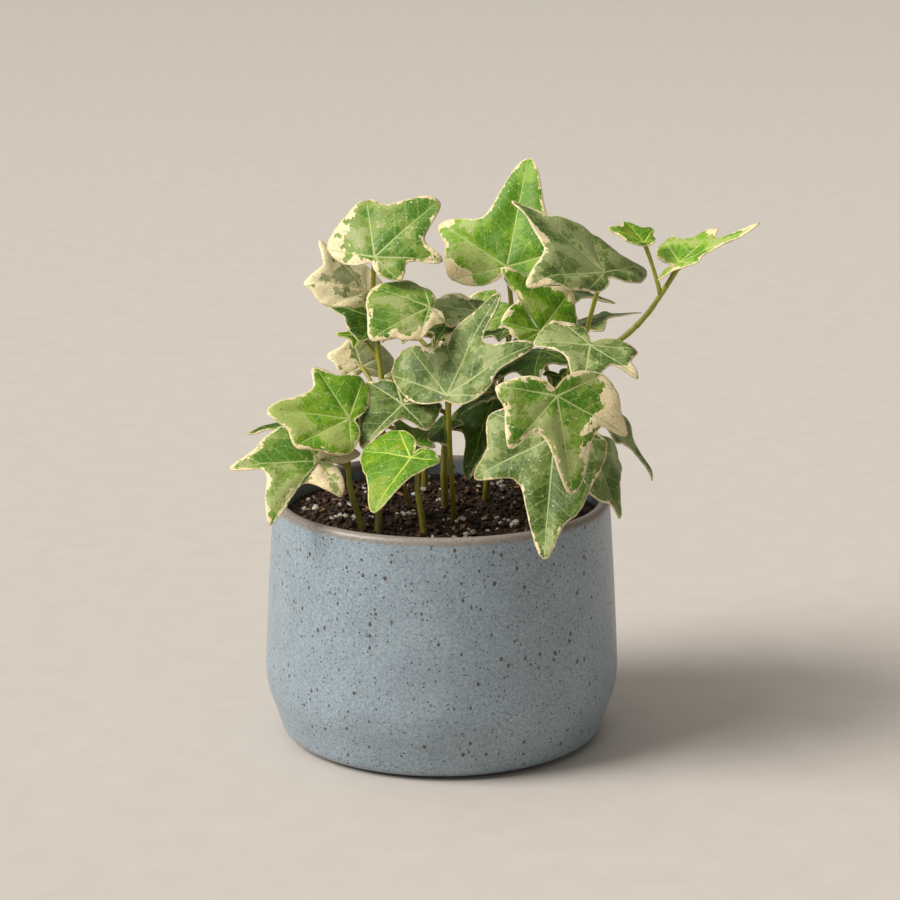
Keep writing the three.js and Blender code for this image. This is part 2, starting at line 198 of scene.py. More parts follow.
soft_sun("key_light", (0.86, 0.28, -0.76), 34.0, 3.5, "FFFBF6")
clear_selection()
bpy.ops.object.light_add(type="AREA", location=(-0.2, 0.2, 2.4))
ceiling = bpy.context.object
ceiling.name = "ceiling_light"
ceiling.data.size = 2.6
ceiling.data.energy = 15.0
ceiling.data.color = colour("FFFBF4")[:3]
sky = bpy.data.worlds.new("pale studio")
sky.use_nodes = True
sky.node_tree.nodes["Background"].inputs["Color"].default_value = colour("F4EEE6")
sky.node_tree.nodes["Background"].inputs["Strength"].default_value = 0.26
bpy.context.scene.world = sky
bpy.context.scene.view_settings.view_transform = "Standard"

# %% [markdown]
# ## The pot: glazed stoneware
#
# The pot is thrown or pressed stoneware: a flat base, a flared foot, a soft shoulder and a wall that closes in
# a little to a rolled lip. It could be a profile turned round the axis by the spin operator. Growing it ring by
# ring out of a disc gives the same form and keeps one clean loop of faces for each height, with no seam to
# weld: the border loop is extruded, lifted and scaled again and again, up the outside, over the lip and down
# the inside.

# %% Sizes of the pot and soil
POT_HEIGHT, RIM_RADIUS, WIDEST_RADIUS = 83.0, 56.8, 60.0  # mm, as in the CAD model
SHOULDER_HEIGHT, BASE_RADIUS, WALL, POT_FLOOR = 24.0, 46.0, 4.0, 5.0
FOOT_SHARE = 0.6  # how far out from the flat to the widest radius the flare starts
FOOT_LIFT, FOOT_SPREAD, FOOT_EASE = 5, 0.8, 0.4  # how high and far out it starts, and the bend before it
SHOULDER_REACH, FLARE_INSET = 12, 2.6  # how far below the shoulder and inside the widest radius it ends
SHOULDER_DROP, SHOULDER_SWELL = 5, 0.6  # the corner that the shoulder rounds off
SHOULDER_EASE, WALL_INSET = 4, 0.1  # where the nearly straight wall starts
WALL_BOW = 0.35
LIP_RADIUS, LIP_STEP = WALL / 2, 22.5  # LIP_STEP in degrees
SOIL_EDGE, SOIL_TOP = 76.5, 78.0
ROOT = 68.0  # height of the stems' buried ends
RIM_SIDES = 128


def between(start, control, end, steps):
    """Points of a quadratic curve after its start."""
    a, b, c = (np.array(p, dtype=float) for p in (start, control, end))
    places = [k / steps for k in range(1, steps + 1)]
    return [tuple((1 - t) ** 2 * a + 2 * t * (1 - t) * b + t ** 2 * c) for t in places]


def wall_line(inset, bottom):
    """Radius and height of the wall from the base up, this far inside the outer face."""
    corner = BASE_RADIUS + (WIDEST_RADIUS - BASE_RADIUS) * FOOT_SHARE
    foot = (corner - inset + FOOT_SPREAD, bottom + FOOT_LIFT)
    flare = (WIDEST_RADIUS - inset - FLARE_INSET,
             max(SHOULDER_HEIGHT - SHOULDER_REACH, bottom + FOOT_LIFT + 1))
    shoulder = (WIDEST_RADIUS - inset - WALL_INSET, SHOULDER_HEIGHT + SHOULDER_EASE)
    line = [(BASE_RADIUS - inset, bottom)]
    line += between(line[-1], (corner - inset, bottom + FOOT_EASE), foot, 8)
    line += between(foot, tuple((np.array(foot) + flare) / 2), flare, 4)
    bulge = (WIDEST_RADIUS - inset + SHOULDER_SWELL, SHOULDER_HEIGHT - SHOULDER_DROP)
    line += between(flare, bulge, shoulder, 8)
    top = (RIM_RADIUS - inset, POT_HEIGHT - LIP_RADIUS)
    line += between(shoulder, tuple((np.array(shoulder) + top) / 2 + (WALL_BOW, 0)), top, 10)
    return line


lip = [(RIM_RADIUS - LIP_RADIUS + LIP_RADIUS * math.cos(turn),
        POT_HEIGHT - LIP_RADIUS + LIP_RADIUS * math.sin(turn))
       for turn in np.radians(np.arange(LIP_STEP, 180, LIP_STEP))]
pot_line = wall_line(0, 0) + lip + wall_line(WALL, POT_FLOOR)[::-1]
print("pot profile:", len(pot_line), "rings")

# %% Grow rings out of a disc
def start_disc(radius, height, sides):
    """A disc of triangles in edit mode, with its border loop selected."""
    clear_selection()
    bpy.ops.mesh.primitive_circle_add(vertices=sides, radius=radius * MM, fill_type="TRIFAN",
                                      location=(0, 0, height * MM))
    disc = bpy.context.object
    bpy.ops.object.mode_set(mode="EDIT")
    bpy.ops.mesh.select_mode(type="EDGE")
    bpy.ops.mesh.select_all(action="DESELECT")
    bpy.ops.mesh.select_non_manifold(extend=False)
    return disc


def grow_ring(old, new):
    """Extrudes the selected loop from one radius and height to the next."""
    bpy.ops.mesh.extrude_region_move(
        TRANSFORM_OT_translate={"value": (0, 0, (new[1] - old[1]) * MM)})
    share = new[0] / old[0]
    bpy.ops.transform.resize(value=(share, share, 1), center_override=(0, 0, new[1] * MM))


def grow_profile(line, sides, close=True):
    """A turned shape with this profile. The last ring is closed to a point on the axis."""
    piece = start_disc(line[0][0], line[0][1], sides)
    for old, new in zip(line, line[1:]):
        grow_ring(old, new)
    if close:
        bpy.ops.mesh.extrude_region_move()
        bpy.ops.mesh.merge(type="CENTER")
    bpy.ops.mesh.select_all(action="SELECT")
    bpy.ops.mesh.normals_make_consistent(inside=False)
    bpy.ops.object.mode_set(mode="OBJECT")
    return piece


pot = grow_profile(pot_line, RIM_SIDES)
print("pot:", len(pot.data.vertices), "vertices,", len(pot.data.polygons), "faces")

# %% [markdown]
# ### Finish: satin reactive glaze on iron-speckled stoneware
#
# Iron grains in the clay bleed through the glaze in the kiln as brown spots, a few millimetres apart, with many
# finer dark dots between them. The glaze itself breaks into a fine mottle of lighter and
# darker blue-grey. On the lip it runs thin and shows the warm clay, and the flat underneath stays unglazed.
# Cell patterns in Object coordinates give spots at real spacings, all round, with no seam.

# %% Glaze
def spots(tree, where, spacing, radius, share, blur):
    """Round marks at random: this far apart, this big, on a share of the cells. All in mm."""
    cells = add_node(tree, "TexVoronoi", {"Vector": where, "Scale": 1 / spacing, "Randomness": 1.0})
    size = add_node(tree, "SeparateColor", {"Color": cells.outputs["Color"]})
    reach = add_node(tree, "Math", {0: size.outputs["Red"], 1: radius / spacing}, operation="MULTIPLY")
    inside = add_node(tree, "Math", {0: reach, 1: cells.outputs["Distance"]}, operation="SUBTRACT")
    soft = add_node(tree, "MapRange", {"Value": inside, "From Min": 0.0, "From Max": blur / spacing})
    chosen = add_node(tree, "Math", {0: size.outputs["Green"], 1: share}, operation="LESS_THAN")
    return add_node(tree, "Math", {0: soft, 1: chosen}, operation="MULTIPLY")


glaze, tree = start_material("stoneware with satin blue-grey reactive glaze")
where = millimetres(tree)
place = add_node(tree, "SeparateXYZ", {"Vector": where})
drift = add_node(tree, "TexNoise", {"Vector": where, "Scale": 1 / 1.6, "Detail": 2.0})
warped = add_node(tree, "VectorMath", {0: where, 1: drift.outputs["Color"]}, operation="ADD")
worms = add_node(tree, "TexVoronoi", {"Vector": warped, "Scale": 1 / 1.1}, feature="DISTANCE_TO_EDGE")
grain = add_node(tree, "TexNoise", {"Vector": where, "Scale": 1 / 0.9, "Detail": 3.0, "Roughness": 0.65})
cloud = add_node(tree, "TexNoise", {"Vector": where, "Scale": 1 / 14, "Detail": 3.0})
body = add_node(tree, "ValToRGB", {"Fac": grain}, stops=[
    (0.34, colour("788893")), (0.5, colour("8B9BA7")), (0.66, colour("A4B1BA"))])
net = add_node(tree, "MapRange", {"Value": worms, "From Min": 0.02, "From Max": 0.2,
                                  "To Min": 0.35, "To Max": 0.0})
netted = add_node(tree, "MixRGB", {"Fac": net, "Color1": body, "Color2": colour("A9B7BC")})
depth = add_node(tree, "MapRange", {"Value": cloud, "From Min": 0.35, "From Max": 0.65,
                                    "To Min": 0.93, "To Max": 1.04})
clouded = add_node(tree, "VectorMath", {0: netted, "Scale": depth}, operation="SCALE")
tall = add_node(tree, "VectorMath", {0: warped, 1: (1.0, 1.0, 0.72)}, operation="MULTIPLY")
IRON_SPACING, DOT_SPACING = 2.5, 1.3  # mm
iron = spots(tree, tall, IRON_SPACING, 0.72, 0.75, 0.2)
dots = spots(tree, warped, DOT_SPACING, 0.42, 0.85, 0.1)
dotted = add_node(tree, "MixRGB", {"Fac": dots, "Color1": clouded, "Color2": colour("4C5052")})
spotted = add_node(tree, "MixRGB", {"Fac": iron, "Color1": dotted, "Color2": colour("5A4B40")})
edge_noise = add_node(tree, "TexNoise", {"Vector": where, "Scale": 1 / 5, "Detail": 3.0})
ragged = add_node(tree, "Math", {0: edge_noise, 1: 1.6, 2: place.outputs["Z"]}, operation="MULTIPLY_ADD")
thin = add_node(tree, "MapRange", {"Value": ragged, "From Min": POT_HEIGHT - 2.2,
                                   "From Max": POT_HEIGHT - 0.9})
clay_tone = add_node(tree, "ValToRGB", {"Fac": grain}, stops=[
    (0.35, colour("857E76")), (0.65, colour("9C948B"))])
rimmed = add_node(tree, "MixRGB", {"Fac": thin, "Color1": spotted, "Color2": clay_tone})
under = add_node(tree, "MapRange", {"Value": place.outputs["Z"], "From Min": 0.15, "From Max": 0.6,
                                    "To Min": 1.0, "To Max": 0.0})
based = add_node(tree, "MixRGB", {"Fac": under, "Color1": rimmed, "Color2": colour("9C8468")})
satin = add_node(tree, "MapRange", {"Value": grain, "From Min": 0.3, "From Max": 0.7,
                                    "To Min": 0.28, "To Max": 0.42})
matt = add_node(tree, "MixRGB", {"Fac": under, "Color1": satin, "Color2": (0.9, 0.9, 0.9, 1.0)})
height = add_node(tree, "Math", {0: iron, 1: -0.8, 2: grain}, operation="MULTIPLY_ADD")
bump = add_node(tree, "Bump", {"Height": height, "Strength": 0.35, "Distance": 0.00018})
surface = add_node(tree, "BsdfPrincipled", {
    "Base Color": based, "Roughness": matt, "Normal": bump, "IOR": 1.5})
add_node(tree, "OutputMaterial", {"Surface": surface})
finish_piece(pot, "pot_glazed", [glaze], "pot")
print("glaze: iron spots in cells of", IRON_SPACING, "mm, fine dots in cells of", DOT_SPACING, "mm")

# %% [markdown]
# ## Soil
#
# Potting soil is a loose mix: fine peat, crumbs of it stuck together, slivers of bark and white grains of
# perlite that were puffed by heat. A flat disc with a bumpy texture would look painted. So the body is a disc
# with a lumpy top, and hundreds of crumbs, slivers and grains lie half sunk in it, each a copy of one small
# form that is turned, stretched and dented by seeded chance.

# %% Soil body
SOIL_RADIUS, SOIL_RINGS, SOIL_SIDES = 52.6, 56, 192
SOIL_GAP = 0.3  # mm between the soil and the inside of the pot
LUMPS = [(9, 0.8, 0.3), (3.6, 0.7, 4.1), (1.5, 0.45, 9.7)]  # width and height in mm, and a layer of the noise


def lumps(x, y):
    """Height of the soil above its smooth dome, in mm, at a place in mm."""
    return sum(rise * noise.noise(Vector((x / width, y / width, layer))) for width, rise, layer in LUMPS)


def soil_height(x, y):
    """Height of the soil's surface in mm."""
    share = min(math.hypot(x, y) / SOIL_RADIUS, 1.0)
    dome = SOIL_EDGE + (SOIL_TOP - SOIL_EDGE) * math.cos(share * math.pi / 2)
    return dome + lumps(x, y) * (1 - 0.6 * share ** 6)  # smoother next to the pot


soil_wall = [(r, z) for r, z in wall_line(WALL + SOIL_GAP, POT_FLOOR + SOIL_GAP) if z < SOIL_EDGE - 4]
crown = [(SOIL_RADIUS * (1 - k / SOIL_RINGS), SOIL_EDGE) for k in range(SOIL_RINGS)]
soil = grow_profile(soil_wall + crown, SOIL_SIDES)
places = coordinates(soil) / MM
top = places[:, 2] > SOIL_EDGE - 1
places[top, 2] = [soil_height(x, y) for x, y, _ in places[top]]
set_coordinates(soil, places * MM)
print("soil:", len(soil.data.vertices), "vertices, top", round(places[:, 2].max(), 1), "mm high")

# %% Crumbs, slivers and grains
SEED = 7
chance = random.Random(SEED)
TILT, DENT_SIZE = 0.5, 1.3  # how far a copy leans, and how close its dents are
EDGE_GAP = 1.0  # mm kept free next to the pot


def pebble(subdivisions):
    """One small round form to copy, of radius 1."""
    clear_selection()
    bpy.ops.mesh.primitive_ico_sphere_add(subdivisions=subdivisions, radius=1.0)
    blank = bpy.context.object
    shape = coordinates(blank)
    faces = [tuple(face.vertices) for face in blank.data.polygons]
    bpy.ops.object.delete()
    return shape, faces


def strewn(name, blank, entries, material):
    """One mesh of many copies of a blank. Each entry: place, size along x, y, z in mm, and how dented."""
    shape, faces = blank
    points, polygons = [], []
    for place, size, dent in entries:
        turn = Vector((0, 0, 1)).rotation_difference(
            Vector((chance.gauss(0, TILT), chance.gauss(0, TILT), 1)).normalized()).to_matrix()
        spin = chance.uniform(0, math.tau)
        c, s = math.cos(spin), math.sin(spin)
        round_z = np.array([[c, -s, 0], [s, c, 0], [0, 0, 1]])
        seed = chance.uniform(0, 99)
        rough = np.array([1 + dent * noise.noise(Vector(p) * DENT_SIZE + Vector((seed, 0, 0))) for p in shape])
        grown = (shape * rough[:, None] * np.array(size)) @ round_z.T @ np.array(turn).T + np.array(place)
        first = len(points)
        points.extend(map(tuple, grown * MM))
        polygons.extend(tuple(first + k for k in face) for face in faces)
    mesh = bpy.data.meshes.new(name)
    mesh.from_pydata(points, [], polygons)
    piece = bpy.data.objects.new(name, mesh)
    bpy.context.collection.objects.link(piece)
    mesh.materials.append(material)
    return piece


def on_soil(lift):
    """A random place on the soil's surface, in mm."""
    reach = math.sqrt(chance.random()) * (SOIL_RADIUS - EDGE_GAP)
    turn = chance.uniform(0, math.tau)
    x, y = reach * math.cos(turn), reach * math.sin(turn)
    return (x, y, soil_height(x, y) + lift)


print("chance starts from seed", SEED)

# %% Soil finish
def earth_look(name, tones, grain_size, roughness):
    """A matt, dark and grainy look in three tones."""
    look, tree = start_material(name)
    mm = millimetres(tree)
    bits = add_node(tree, "TexVoronoi", {"Vector": mm, "Scale": 1 / grain_size})
    pick_tone = add_node(tree, "SeparateColor", {"Color": bits.outputs["Color"]})
    fine = add_node(tree, "TexNoise", {"Vector": mm, "Scale": 2.0 / grain_size, "Detail": 4.0})
    mixed = add_node(tree, "Math", {0: pick_tone.outputs["Red"], 1: fine}, operation="MULTIPLY")
    tone = add_node(tree, "ValToRGB", {"Fac": mixed}, stops=[
        (0.1, colour(tones[0])), (0.3, colour(tones[1])), (0.62, colour(tones[2]))])
    rough = add_node(tree, "Bump", {"Height": fine, "Strength": 0.7, "Distance": 0.0004})
    surface = add_node(tree, "BsdfPrincipled", {"Base Color": tone, "Roughness": roughness, "Normal": rough})
    add_node(tree, "OutputMaterial", {"Surface": surface})
    return look


peat = earth_look("potting soil, damp peat", ("170D07", "3A2414", "654629"), 1.4, 0.7)
bark = earth_look("bark slivers in potting soil", ("5A3D28", "8A6647", "B08B66"), 2.2, 0.8)
puffed = earth_look("perlite grains", ("A9A294", "D9D3C4", "F1EDE2"), 0.8, 0.9)
finish_piece(soil, "soil_body", [peat], "soil")

CRUMBS, SLIVERS = 2600, 190
crumb, grain_form = pebble(1), pebble(2)
crumbs = [(on_soil(-0.1), (s, s * chance.uniform(0.6, 1), s * chance.uniform(0.5, 0.9)), 0.9)
          for s in [0.4 + 1.3 * chance.random() ** 3 for _ in range(CRUMBS)]]
finish_piece(strewn("soil_crumbs", crumb, crumbs, peat), "soil_crumbs", None, None)
slivers = [(on_soil(0.1), (s, s * 0.3, s * 0.18), 0.7)
           for s in [chance.uniform(0.8, 2.6) for _ in range(SLIVERS)]]
finish_piece(strewn("bark_slivers", crumb, slivers, bark), "bark_slivers", None, None)
print("crumbs:", len(crumbs), "slivers:", len(slivers))

# %% Perlite
CLUSTERS = [(23, -18, 7), (6, -15, 5), (9, -28, 4), (-12, -8, 4), (-34, -8, 5), (-24, -34, 5), (0, -38, 6),
            (-40, 6, 4), (20, 34, 5), (-18, 30, 5)]  # x, y in mm and how many grains
LOOSE_GRAINS = 150
grains = []
for x, y, count in CLUSTERS:
    for _ in range(count):
        gx, gy, size = x + chance.gauss(0, 2.2), y + chance.gauss(0, 1.8), chance.uniform(0.6, 1.5)
        grains.append(((gx, gy, soil_height(gx, gy) + 0.25 * size), (size, size * 0.85, size * 0.7), 0.8))
for _ in range(LOOSE_GRAINS):
    size = 0.25 + 0.8 * chance.random() ** 2
    grains.append((on_soil(0.2 * size), (size, size * 0.9, size * 0.8), 0.8))
finish_piece(strewn("perlite", grain_form, grains, puffed), "perlite", None, None)
print("perlite grains:", len(grains))

# %% [markdown]
# ## Stems
#
# Ivy stems are thin green rods that turn brown and woody at the soil, with a swollen node wherever a leaf
# leaves them. A curve with a round bevel is the quickest tube that keeps its thickness round bends, and each
# of its points has a radius of its own, which makes the taper and the nodes. It is then turned into a mesh.

# %% Routes
STEMS = {
    "stem_left_low": [(-24, -27, ROOT), (-26, -26, 78), (-30, -24, 91), (-31, -20, 104)],
    "stem_left_tall": [(-21, -28, ROOT), (-21, -27, 78), (-20, -14, 100), (-20, -2, 122), (-22, 1, 138),
                       (-23, 2, 150)],
    "stem_front": [(-6, -28, ROOT), (-6, -28, 78), (-8, -27, 92), (-8, -27, 98)],
    "stem_centre": [(1, 2, ROOT), (1, 2, 78), (1, 1, 98), (3, 3, 118), (7, 5, 138)],
    "stem_right": [(33, -12, ROOT), (33, -12, 78), (35, -12, 98), (40, -14, 118), (42, -14, 128)],
    "stem_trailing": [(30, 10, ROOT), (31, 10, 78), (39, 8, 110), (50, 4, 132), (58, 1, 135), (65, 0, 141),
                      (70, 0, 147), (73, 0, 152), (75, 0, 155)],
    "stem_top": [(15, 12, ROOT), (15, 12, 78), (18, 13, 105), (22, 13, 130), (24, 12, 140)],
    "stem_back": [(-6, 26, ROOT), (-6, 27, 78), (-5, 29, 100), (0, 29, 125)],
}


def smooth_route(points, steps=12):
    """A centripetal Catmull-Rom curve through the points, as evenly spaced places in mm."""
    p = [np.array(q, dtype=float) for q in points]
    p = [2 * p[0] - p[1]] + p + [2 * p[-1] - p[-2]]
    line = []
    for a, b, c, d in zip(p, p[1:], p[2:], p[3:]):
        ab, bc, cd = (math.sqrt(np.linalg.norm(v)) for v in (b - a, c - b, d - c))
        leave = bc * ((b - a) / ab - (c - a) / (ab + bc) + (c - b) / bc)
        arrive = bc * ((c - b) / bc - (d - b) / (bc + cd) + (d - c) / cd)
        for t in np.linspace(0, 1, steps, endpoint=False):
            line.append((2 * t ** 3 - 3 * t ** 2 + 1) * b + (t ** 3 - 2 * t ** 2 + t) * leave
                        + (3 * t ** 2 - 2 * t ** 3) * c + (t ** 3 - t ** 2) * arrive)
    return np.array(line + [p[-2]])


def along(route, share):
    """The place this share of the way along a route."""
    gaps = np.linalg.norm(np.diff(route, axis=0), axis=1)
    run = np.concatenate([[0], np.cumsum(gaps)])
    return np.array([np.interp(share * run[-1], run, route[:, axis]) for axis in range(3)])


routes = {name: smooth_route(points) for name, points in STEMS.items()}
print("routes:", {name: len(route) for name, route in routes.items()})

# %% Tubes
def tube(name, line, radii, roundness=3):
    """A closed round tube along a line in mm, with a radius at each point. It has 4 + 2 * roundness sides."""
    clear_selection()
    bpy.ops.curve.primitive_nurbs_path_add()
    path = bpy.context.object
    path.name = name
    curve = path.data
    curve.splines.clear()
    spline = curve.splines.new("POLY")
    spline.points.add(len(line) - 1)
    for point, place, radius in zip(spline.points, line, radii):
        point.co = (*(np.array(place) * MM), 1)
        point.radius = radius
    curve.dimensions = "3D"
    curve.bevel_depth = MM
    curve.bevel_resolution = roundness
    curve.use_fill_caps = True
    bpy.ops.object.convert(target="MESH")
    piece = bpy.context.object
    bpy.ops.object.mode_set(mode="EDIT")
    bpy.ops.mesh.select_all(action="SELECT")
    bpy.ops.mesh.remove_doubles(threshold=0.00001)
    bpy.ops.mesh.normals_make_consistent(inside=False)
    bpy.ops.object.mode_set(mode="OBJECT")
    return piece


print("a tube of roundness 3 has", 4 + 2 * 3, "sides")

# %% Stem and petiole finish
def stalk_look(name, low, high, top_tone):
    """Smooth green skin, browner near the soil, with fine lengthways streaks."""
    look, tree = start_material(name)
    mm = millimetres(tree)
    place = add_node(tree, "SeparateXYZ", {"Vector": mm})
    drift = add_node(tree, "TexNoise", {"Vector": mm, "Scale": 1 / 7, "Detail": 2.0})
    level = add_node(tree, "Math", {0: drift, 1: 22.0, 2: place.outputs["Z"]}, operation="MULTIPLY_ADD")
    age = add_node(tree, "MapRange", {"Value": level, "From Min": SOIL_TOP + 2, "From Max": 165.0})
    tone = add_node(tree, "ValToRGB", {"Fac": age}, stops=[
        (0.0, colour(low)), (0.28, colour(high)), (1.0, colour(top_tone))])
    drawn = add_node(tree, "VectorMath", {0: mm, 1: (1.6, 1.6, 0.2)}, operation="MULTIPLY")
    streak = add_node(tree, "TexNoise", {"Vector": drawn, "Scale": 1.0, "Detail": 3.0})
    shade = add_node(tree, "MapRange", {"Value": streak, "From Min": 0.3, "From Max": 0.7,
                                        "To Min": 0.86, "To Max": 1.1})
    skin = add_node(tree, "VectorMath", {0: tone, "Scale": shade}, operation="SCALE")
    bump = add_node(tree, "Bump", {"Height": streak, "Strength": 0.4, "Distance": 0.0002})
    surface = add_node(tree, "BsdfPrincipled", {
        "Base Color": skin, "Roughness": 0.42, "Normal": bump, "Subsurface Weight": 0.1,
        "Subsurface Scale": 0.002})
    add_node(tree, "OutputMaterial", {"Surface": surface})
    return look


stalk = stalk_look("ivy stem, green skin turning to bark", "5A4A1A", "98922A", "A3A436")
STEM_RADIUS, STEM_TAPER = 1.35, 0.6  # mm
NODES, NODE_SWELL, NODE_LENGTH = [0.3, 0.42, 0.55, 0.68, 0.8, 0.9, 1.0], 0.16, 0.018  # shares of a stem
steps = np.linspace(0, 1, 46)
swell = [1 + NODE_SWELL * sum(math.exp(-((t - n) / NODE_LENGTH) ** 2) for n in NODES) for t in steps]
radii = [(STEM_RADIUS - STEM_TAPER * t) * s for t, s in zip(steps, swell)]
for name, route in routes.items():
    finish_piece(tube(name, [along(route, t) for t in steps], radii), name + "_grown", [stalk], name)
print("stems:", len(routes))

# %% [markdown]
# ## Leaves
#
# An ivy blade is lobes round the place where the petiole meets it, each with its own midrib. Leaves differ in
# size and in how long each lobe is, but all have the same make. So one blank is modelled, a disc grown ring by
# ring, and each leaf is a copy of it whose rings take that leaf's outline. The flat blade is then bent the way
# leaves bend: the tip arches over, the halves fold along the midrib, each lobe has a shallow channel along its
# vein, and the rim ripples. Solidify gives it its thickness and its separate underside.

# %% The blank
HALF_LOBE, BASAL = 9, 12  # rim points from a tip to a bay, and from a basal tip to the notch
RIM_POINTS = 8 * HALF_LOBE + 2 * BASAL
RINGS = [0.1, 0.22, 0.34, 0.46, 0.57, 0.67, 0.76, 0.84, 0.9, 0.95, 1.0]

blank = grow_profile([(r, 0) for r in RINGS], RIM_POINTS, close=False)
flat = coordinates(blank)
blank_ring = np.hypot(flat[:, 0], flat[:, 1]) / MM
blank_spoke = np.round(np.arctan2(flat[:, 1], flat[:, 0]) / math.tau * RIM_POINTS).astype(int) % RIM_POINTS
print("leaf blank:", len(flat), "vertices on", RIM_POINTS, "spokes")

# %% Outline of a blade
BAY_DEPTH = 0.72  # how far out a bay lies, as a share of the way to the line from tip to tip
NOTCH = 1.6  # mm from the petiole to the rim behind it
TIP_EASE, BAY_EASE = 0.36, 0.24  # how far the rim runs straight from a tip and into a bay
SWELL_TURN, SWELL_EASE = 34, 0.5  # how a basal lobe rounds out from its tip, in degrees and as a share
CHEEK_TURN, CHEEK_EASE = 48, 0.34  # and how it comes back in to the notch


def polar(angle, length):
    """A flat point at this angle from the midrib, anticlockwise, in degrees."""
    turn = math.radians(angle)
    return np.array([length * math.cos(turn), length * math.sin(turn)])


def turned(vector, angle):
    """A flat vector turned anticlockwise by degrees."""
    c, s = math.cos(math.radians(angle)), math.sin(math.radians(angle))
    return np.array([c * vector[0] - s * vector[1], s * vector[0] + c * vector[1]])


def cubic(a, b, c, d, steps):
    """Points of a cubic curve, without its end."""
    t = (np.arange(steps) / steps)[:, None]
    return (1 - t) ** 3 * a + 3 * t * (1 - t) ** 2 * b + 3 * t ** 2 * (1 - t) * c + t ** 3 * d


def side_of_lobe(tip, bay, way, blunt):
    """Half a lobe, from its tip to a bay. way is +1 where the bay lies anticlockwise."""
    run = bay - tip
    reach = np.linalg.norm(run)
    across = turned(bay, 90 * way) / np.linalg.norm(bay)
    leaving = tip + turned(run, -blunt * way) * TIP_EASE
    arriving = bay - across * reach * BAY_EASE
    return leaving, arriving


def outline_of(lobes, blunt):
    """The rim of a blade: a point for each spoke of the blank, in mm."""
    tips = [(lobe[0] % 360, *lobe[1:], *(BAY_DEPTH, 0)[len(lobe) - 2:]) for lobe in lobes]
    notch = polar(180, NOTCH)
    line = []
    for (angle, length, depth, shift), (after, reach, *_) in zip(tips, tips[1:] + tips[:1]):
        tip, goal = polar(angle, length), polar(after, reach)
        if angle < 180 < after:
            for start, end, way in ((tip, notch, 1), (notch, goal, -1)):
                outer, inner = (tip, notch) if way == 1 else (goal, notch)
                swell = outer + turned(inner - outer, -SWELL_TURN * way) * SWELL_EASE
                cheek = inner + turned(outer - inner, CHEEK_TURN * way) * CHEEK_EASE
                mids = (swell, cheek) if way == 1 else (cheek, swell)
                line.extend(cubic(start, *mids, end, BASAL))
            continue
        half = ((after - angle) % 360) / 2
        chord = 2 * length * reach * math.cos(math.radians(half)) / (length + reach)
        bay = polar(angle + half + shift, depth * chord)
        leaving, arriving = side_of_lobe(tip, bay, 1, blunt)
        line.extend(cubic(tip, leaving, arriving, bay, HALF_LOBE))
        leaving, arriving = side_of_lobe(goal, bay, -1, blunt)
        line.extend(cubic(bay, arriving, leaving, goal, HALF_LOBE))
    return np.array(line)


print("rim of a plain leaf:", outline_of([(0, 30), (57, 23), (118, 15), (-118, 15), (-57, 23)], 16).shape)

# %% Form of a blade
FOLD_ROUNDING, LATERAL_DROOP = 0.08, 0.25  # how soft the fold is, and how much the side lobes hang


def five_lobes(length):
    """Lobes of a plain five-lobed leaf."""
    return [(0, length), (57, 0.78 * length), (118, 0.5 * length), (-118, 0.5 * length), (-57, 0.78 * length)]


def three_lobes(length):
    """Lobes of a small young leaf."""
    return [(0, length), (62, 0.68 * length), (125, 0.4 * length), (-125, 0.4 * length), (-62, 0.68 * length)]


def bent(flat, rise, size, bend, fold):
    """Flat points of a blade, bent to its real form. All in mm and degrees."""
    turn = math.radians(bend)
    x, y = flat[:, 0] / size, flat[:, 1] / size
    folded = fold * (np.hypot(y, FOLD_ROUNDING) - FOLD_ROUNDING)
    lift = rise / size + folded - LATERAL_DROOP * np.abs(y) ** 3
    angle = turn * x
    run = np.sin(angle) / turn if bend else x
    drop = (1 - np.cos(angle)) / turn if bend else 0
    px, pz = run + lift * np.sin(angle), lift * np.cos(angle) - drop
    c, s = math.cos(-turn / 2), math.sin(-turn / 2)
    return np.stack([c * px + s * pz, y, c * pz - s * px], axis=1) * size


def frame_of(heading, pitch, roll):
    """The turn that points a blade's tip this way, as rows of a matrix."""
    h, p, r = (math.radians(v) for v in (heading, -pitch, roll))
    about_z = np.array([[math.cos(h), -math.sin(h), 0], [math.sin(h), math.cos(h), 0], [0, 0, 1]])
    about_y = np.array([[math.cos(p), 0, math.sin(p)], [0, 1, 0], [-math.sin(p), 0, math.cos(p)]])
    about_x = np.array([[1, 0, 0], [0, math.cos(r), -math.sin(r)], [0, math.sin(r), math.cos(r)]])
    return about_z @ about_y @ about_x


def sectors(flat, lobes):
    """For each flat point, how far it is along and across the vein of its own lobe."""
    angles = np.degrees(np.arctan2(flat[:, 1], flat[:, 0]))
    gaps = np.array([np.abs((angles - lobe[0] + 180) % 360 - 180) for lobe in lobes])
    own = gaps.argmin(axis=0)
    ways = np.array([polar(lobe[0], 1) for lobe in lobes])[own]
    ahead = (flat * ways).sum(axis=1)
    aside = ways[:, 0] * flat[:, 1] - ways[:, 1] * flat[:, 0]
    return ahead, aside


def wander(flat, width, layer):
    """Smooth chance at each flat point, in ripples about this many mm wide."""
    return np.array([noise.noise(Vector((p[0] / width, p[1] / width, layer))) for p in flat])


def to_rim(flat, rim):
    """Distance from each flat point to the rim, in mm."""
    run = np.roll(rim, -1, axis=0) - rim
    gap = flat[:, None, :] - rim[None]
    share = np.clip((gap * run).sum(2) / (run ** 2).sum(1), 0, 1)
    return np.linalg.norm(gap - share[..., None] * run, axis=2).min(axis=1)


def set_layer(mesh, name, kind, domain, values):
    """Stores values on a mesh for its material to read."""
    layer = mesh.attributes.new(name, kind, domain)
    layer.data.foreach_set("vector" if kind == "FLOAT_VECTOR" else "value", np.asarray(values, float).ravel())


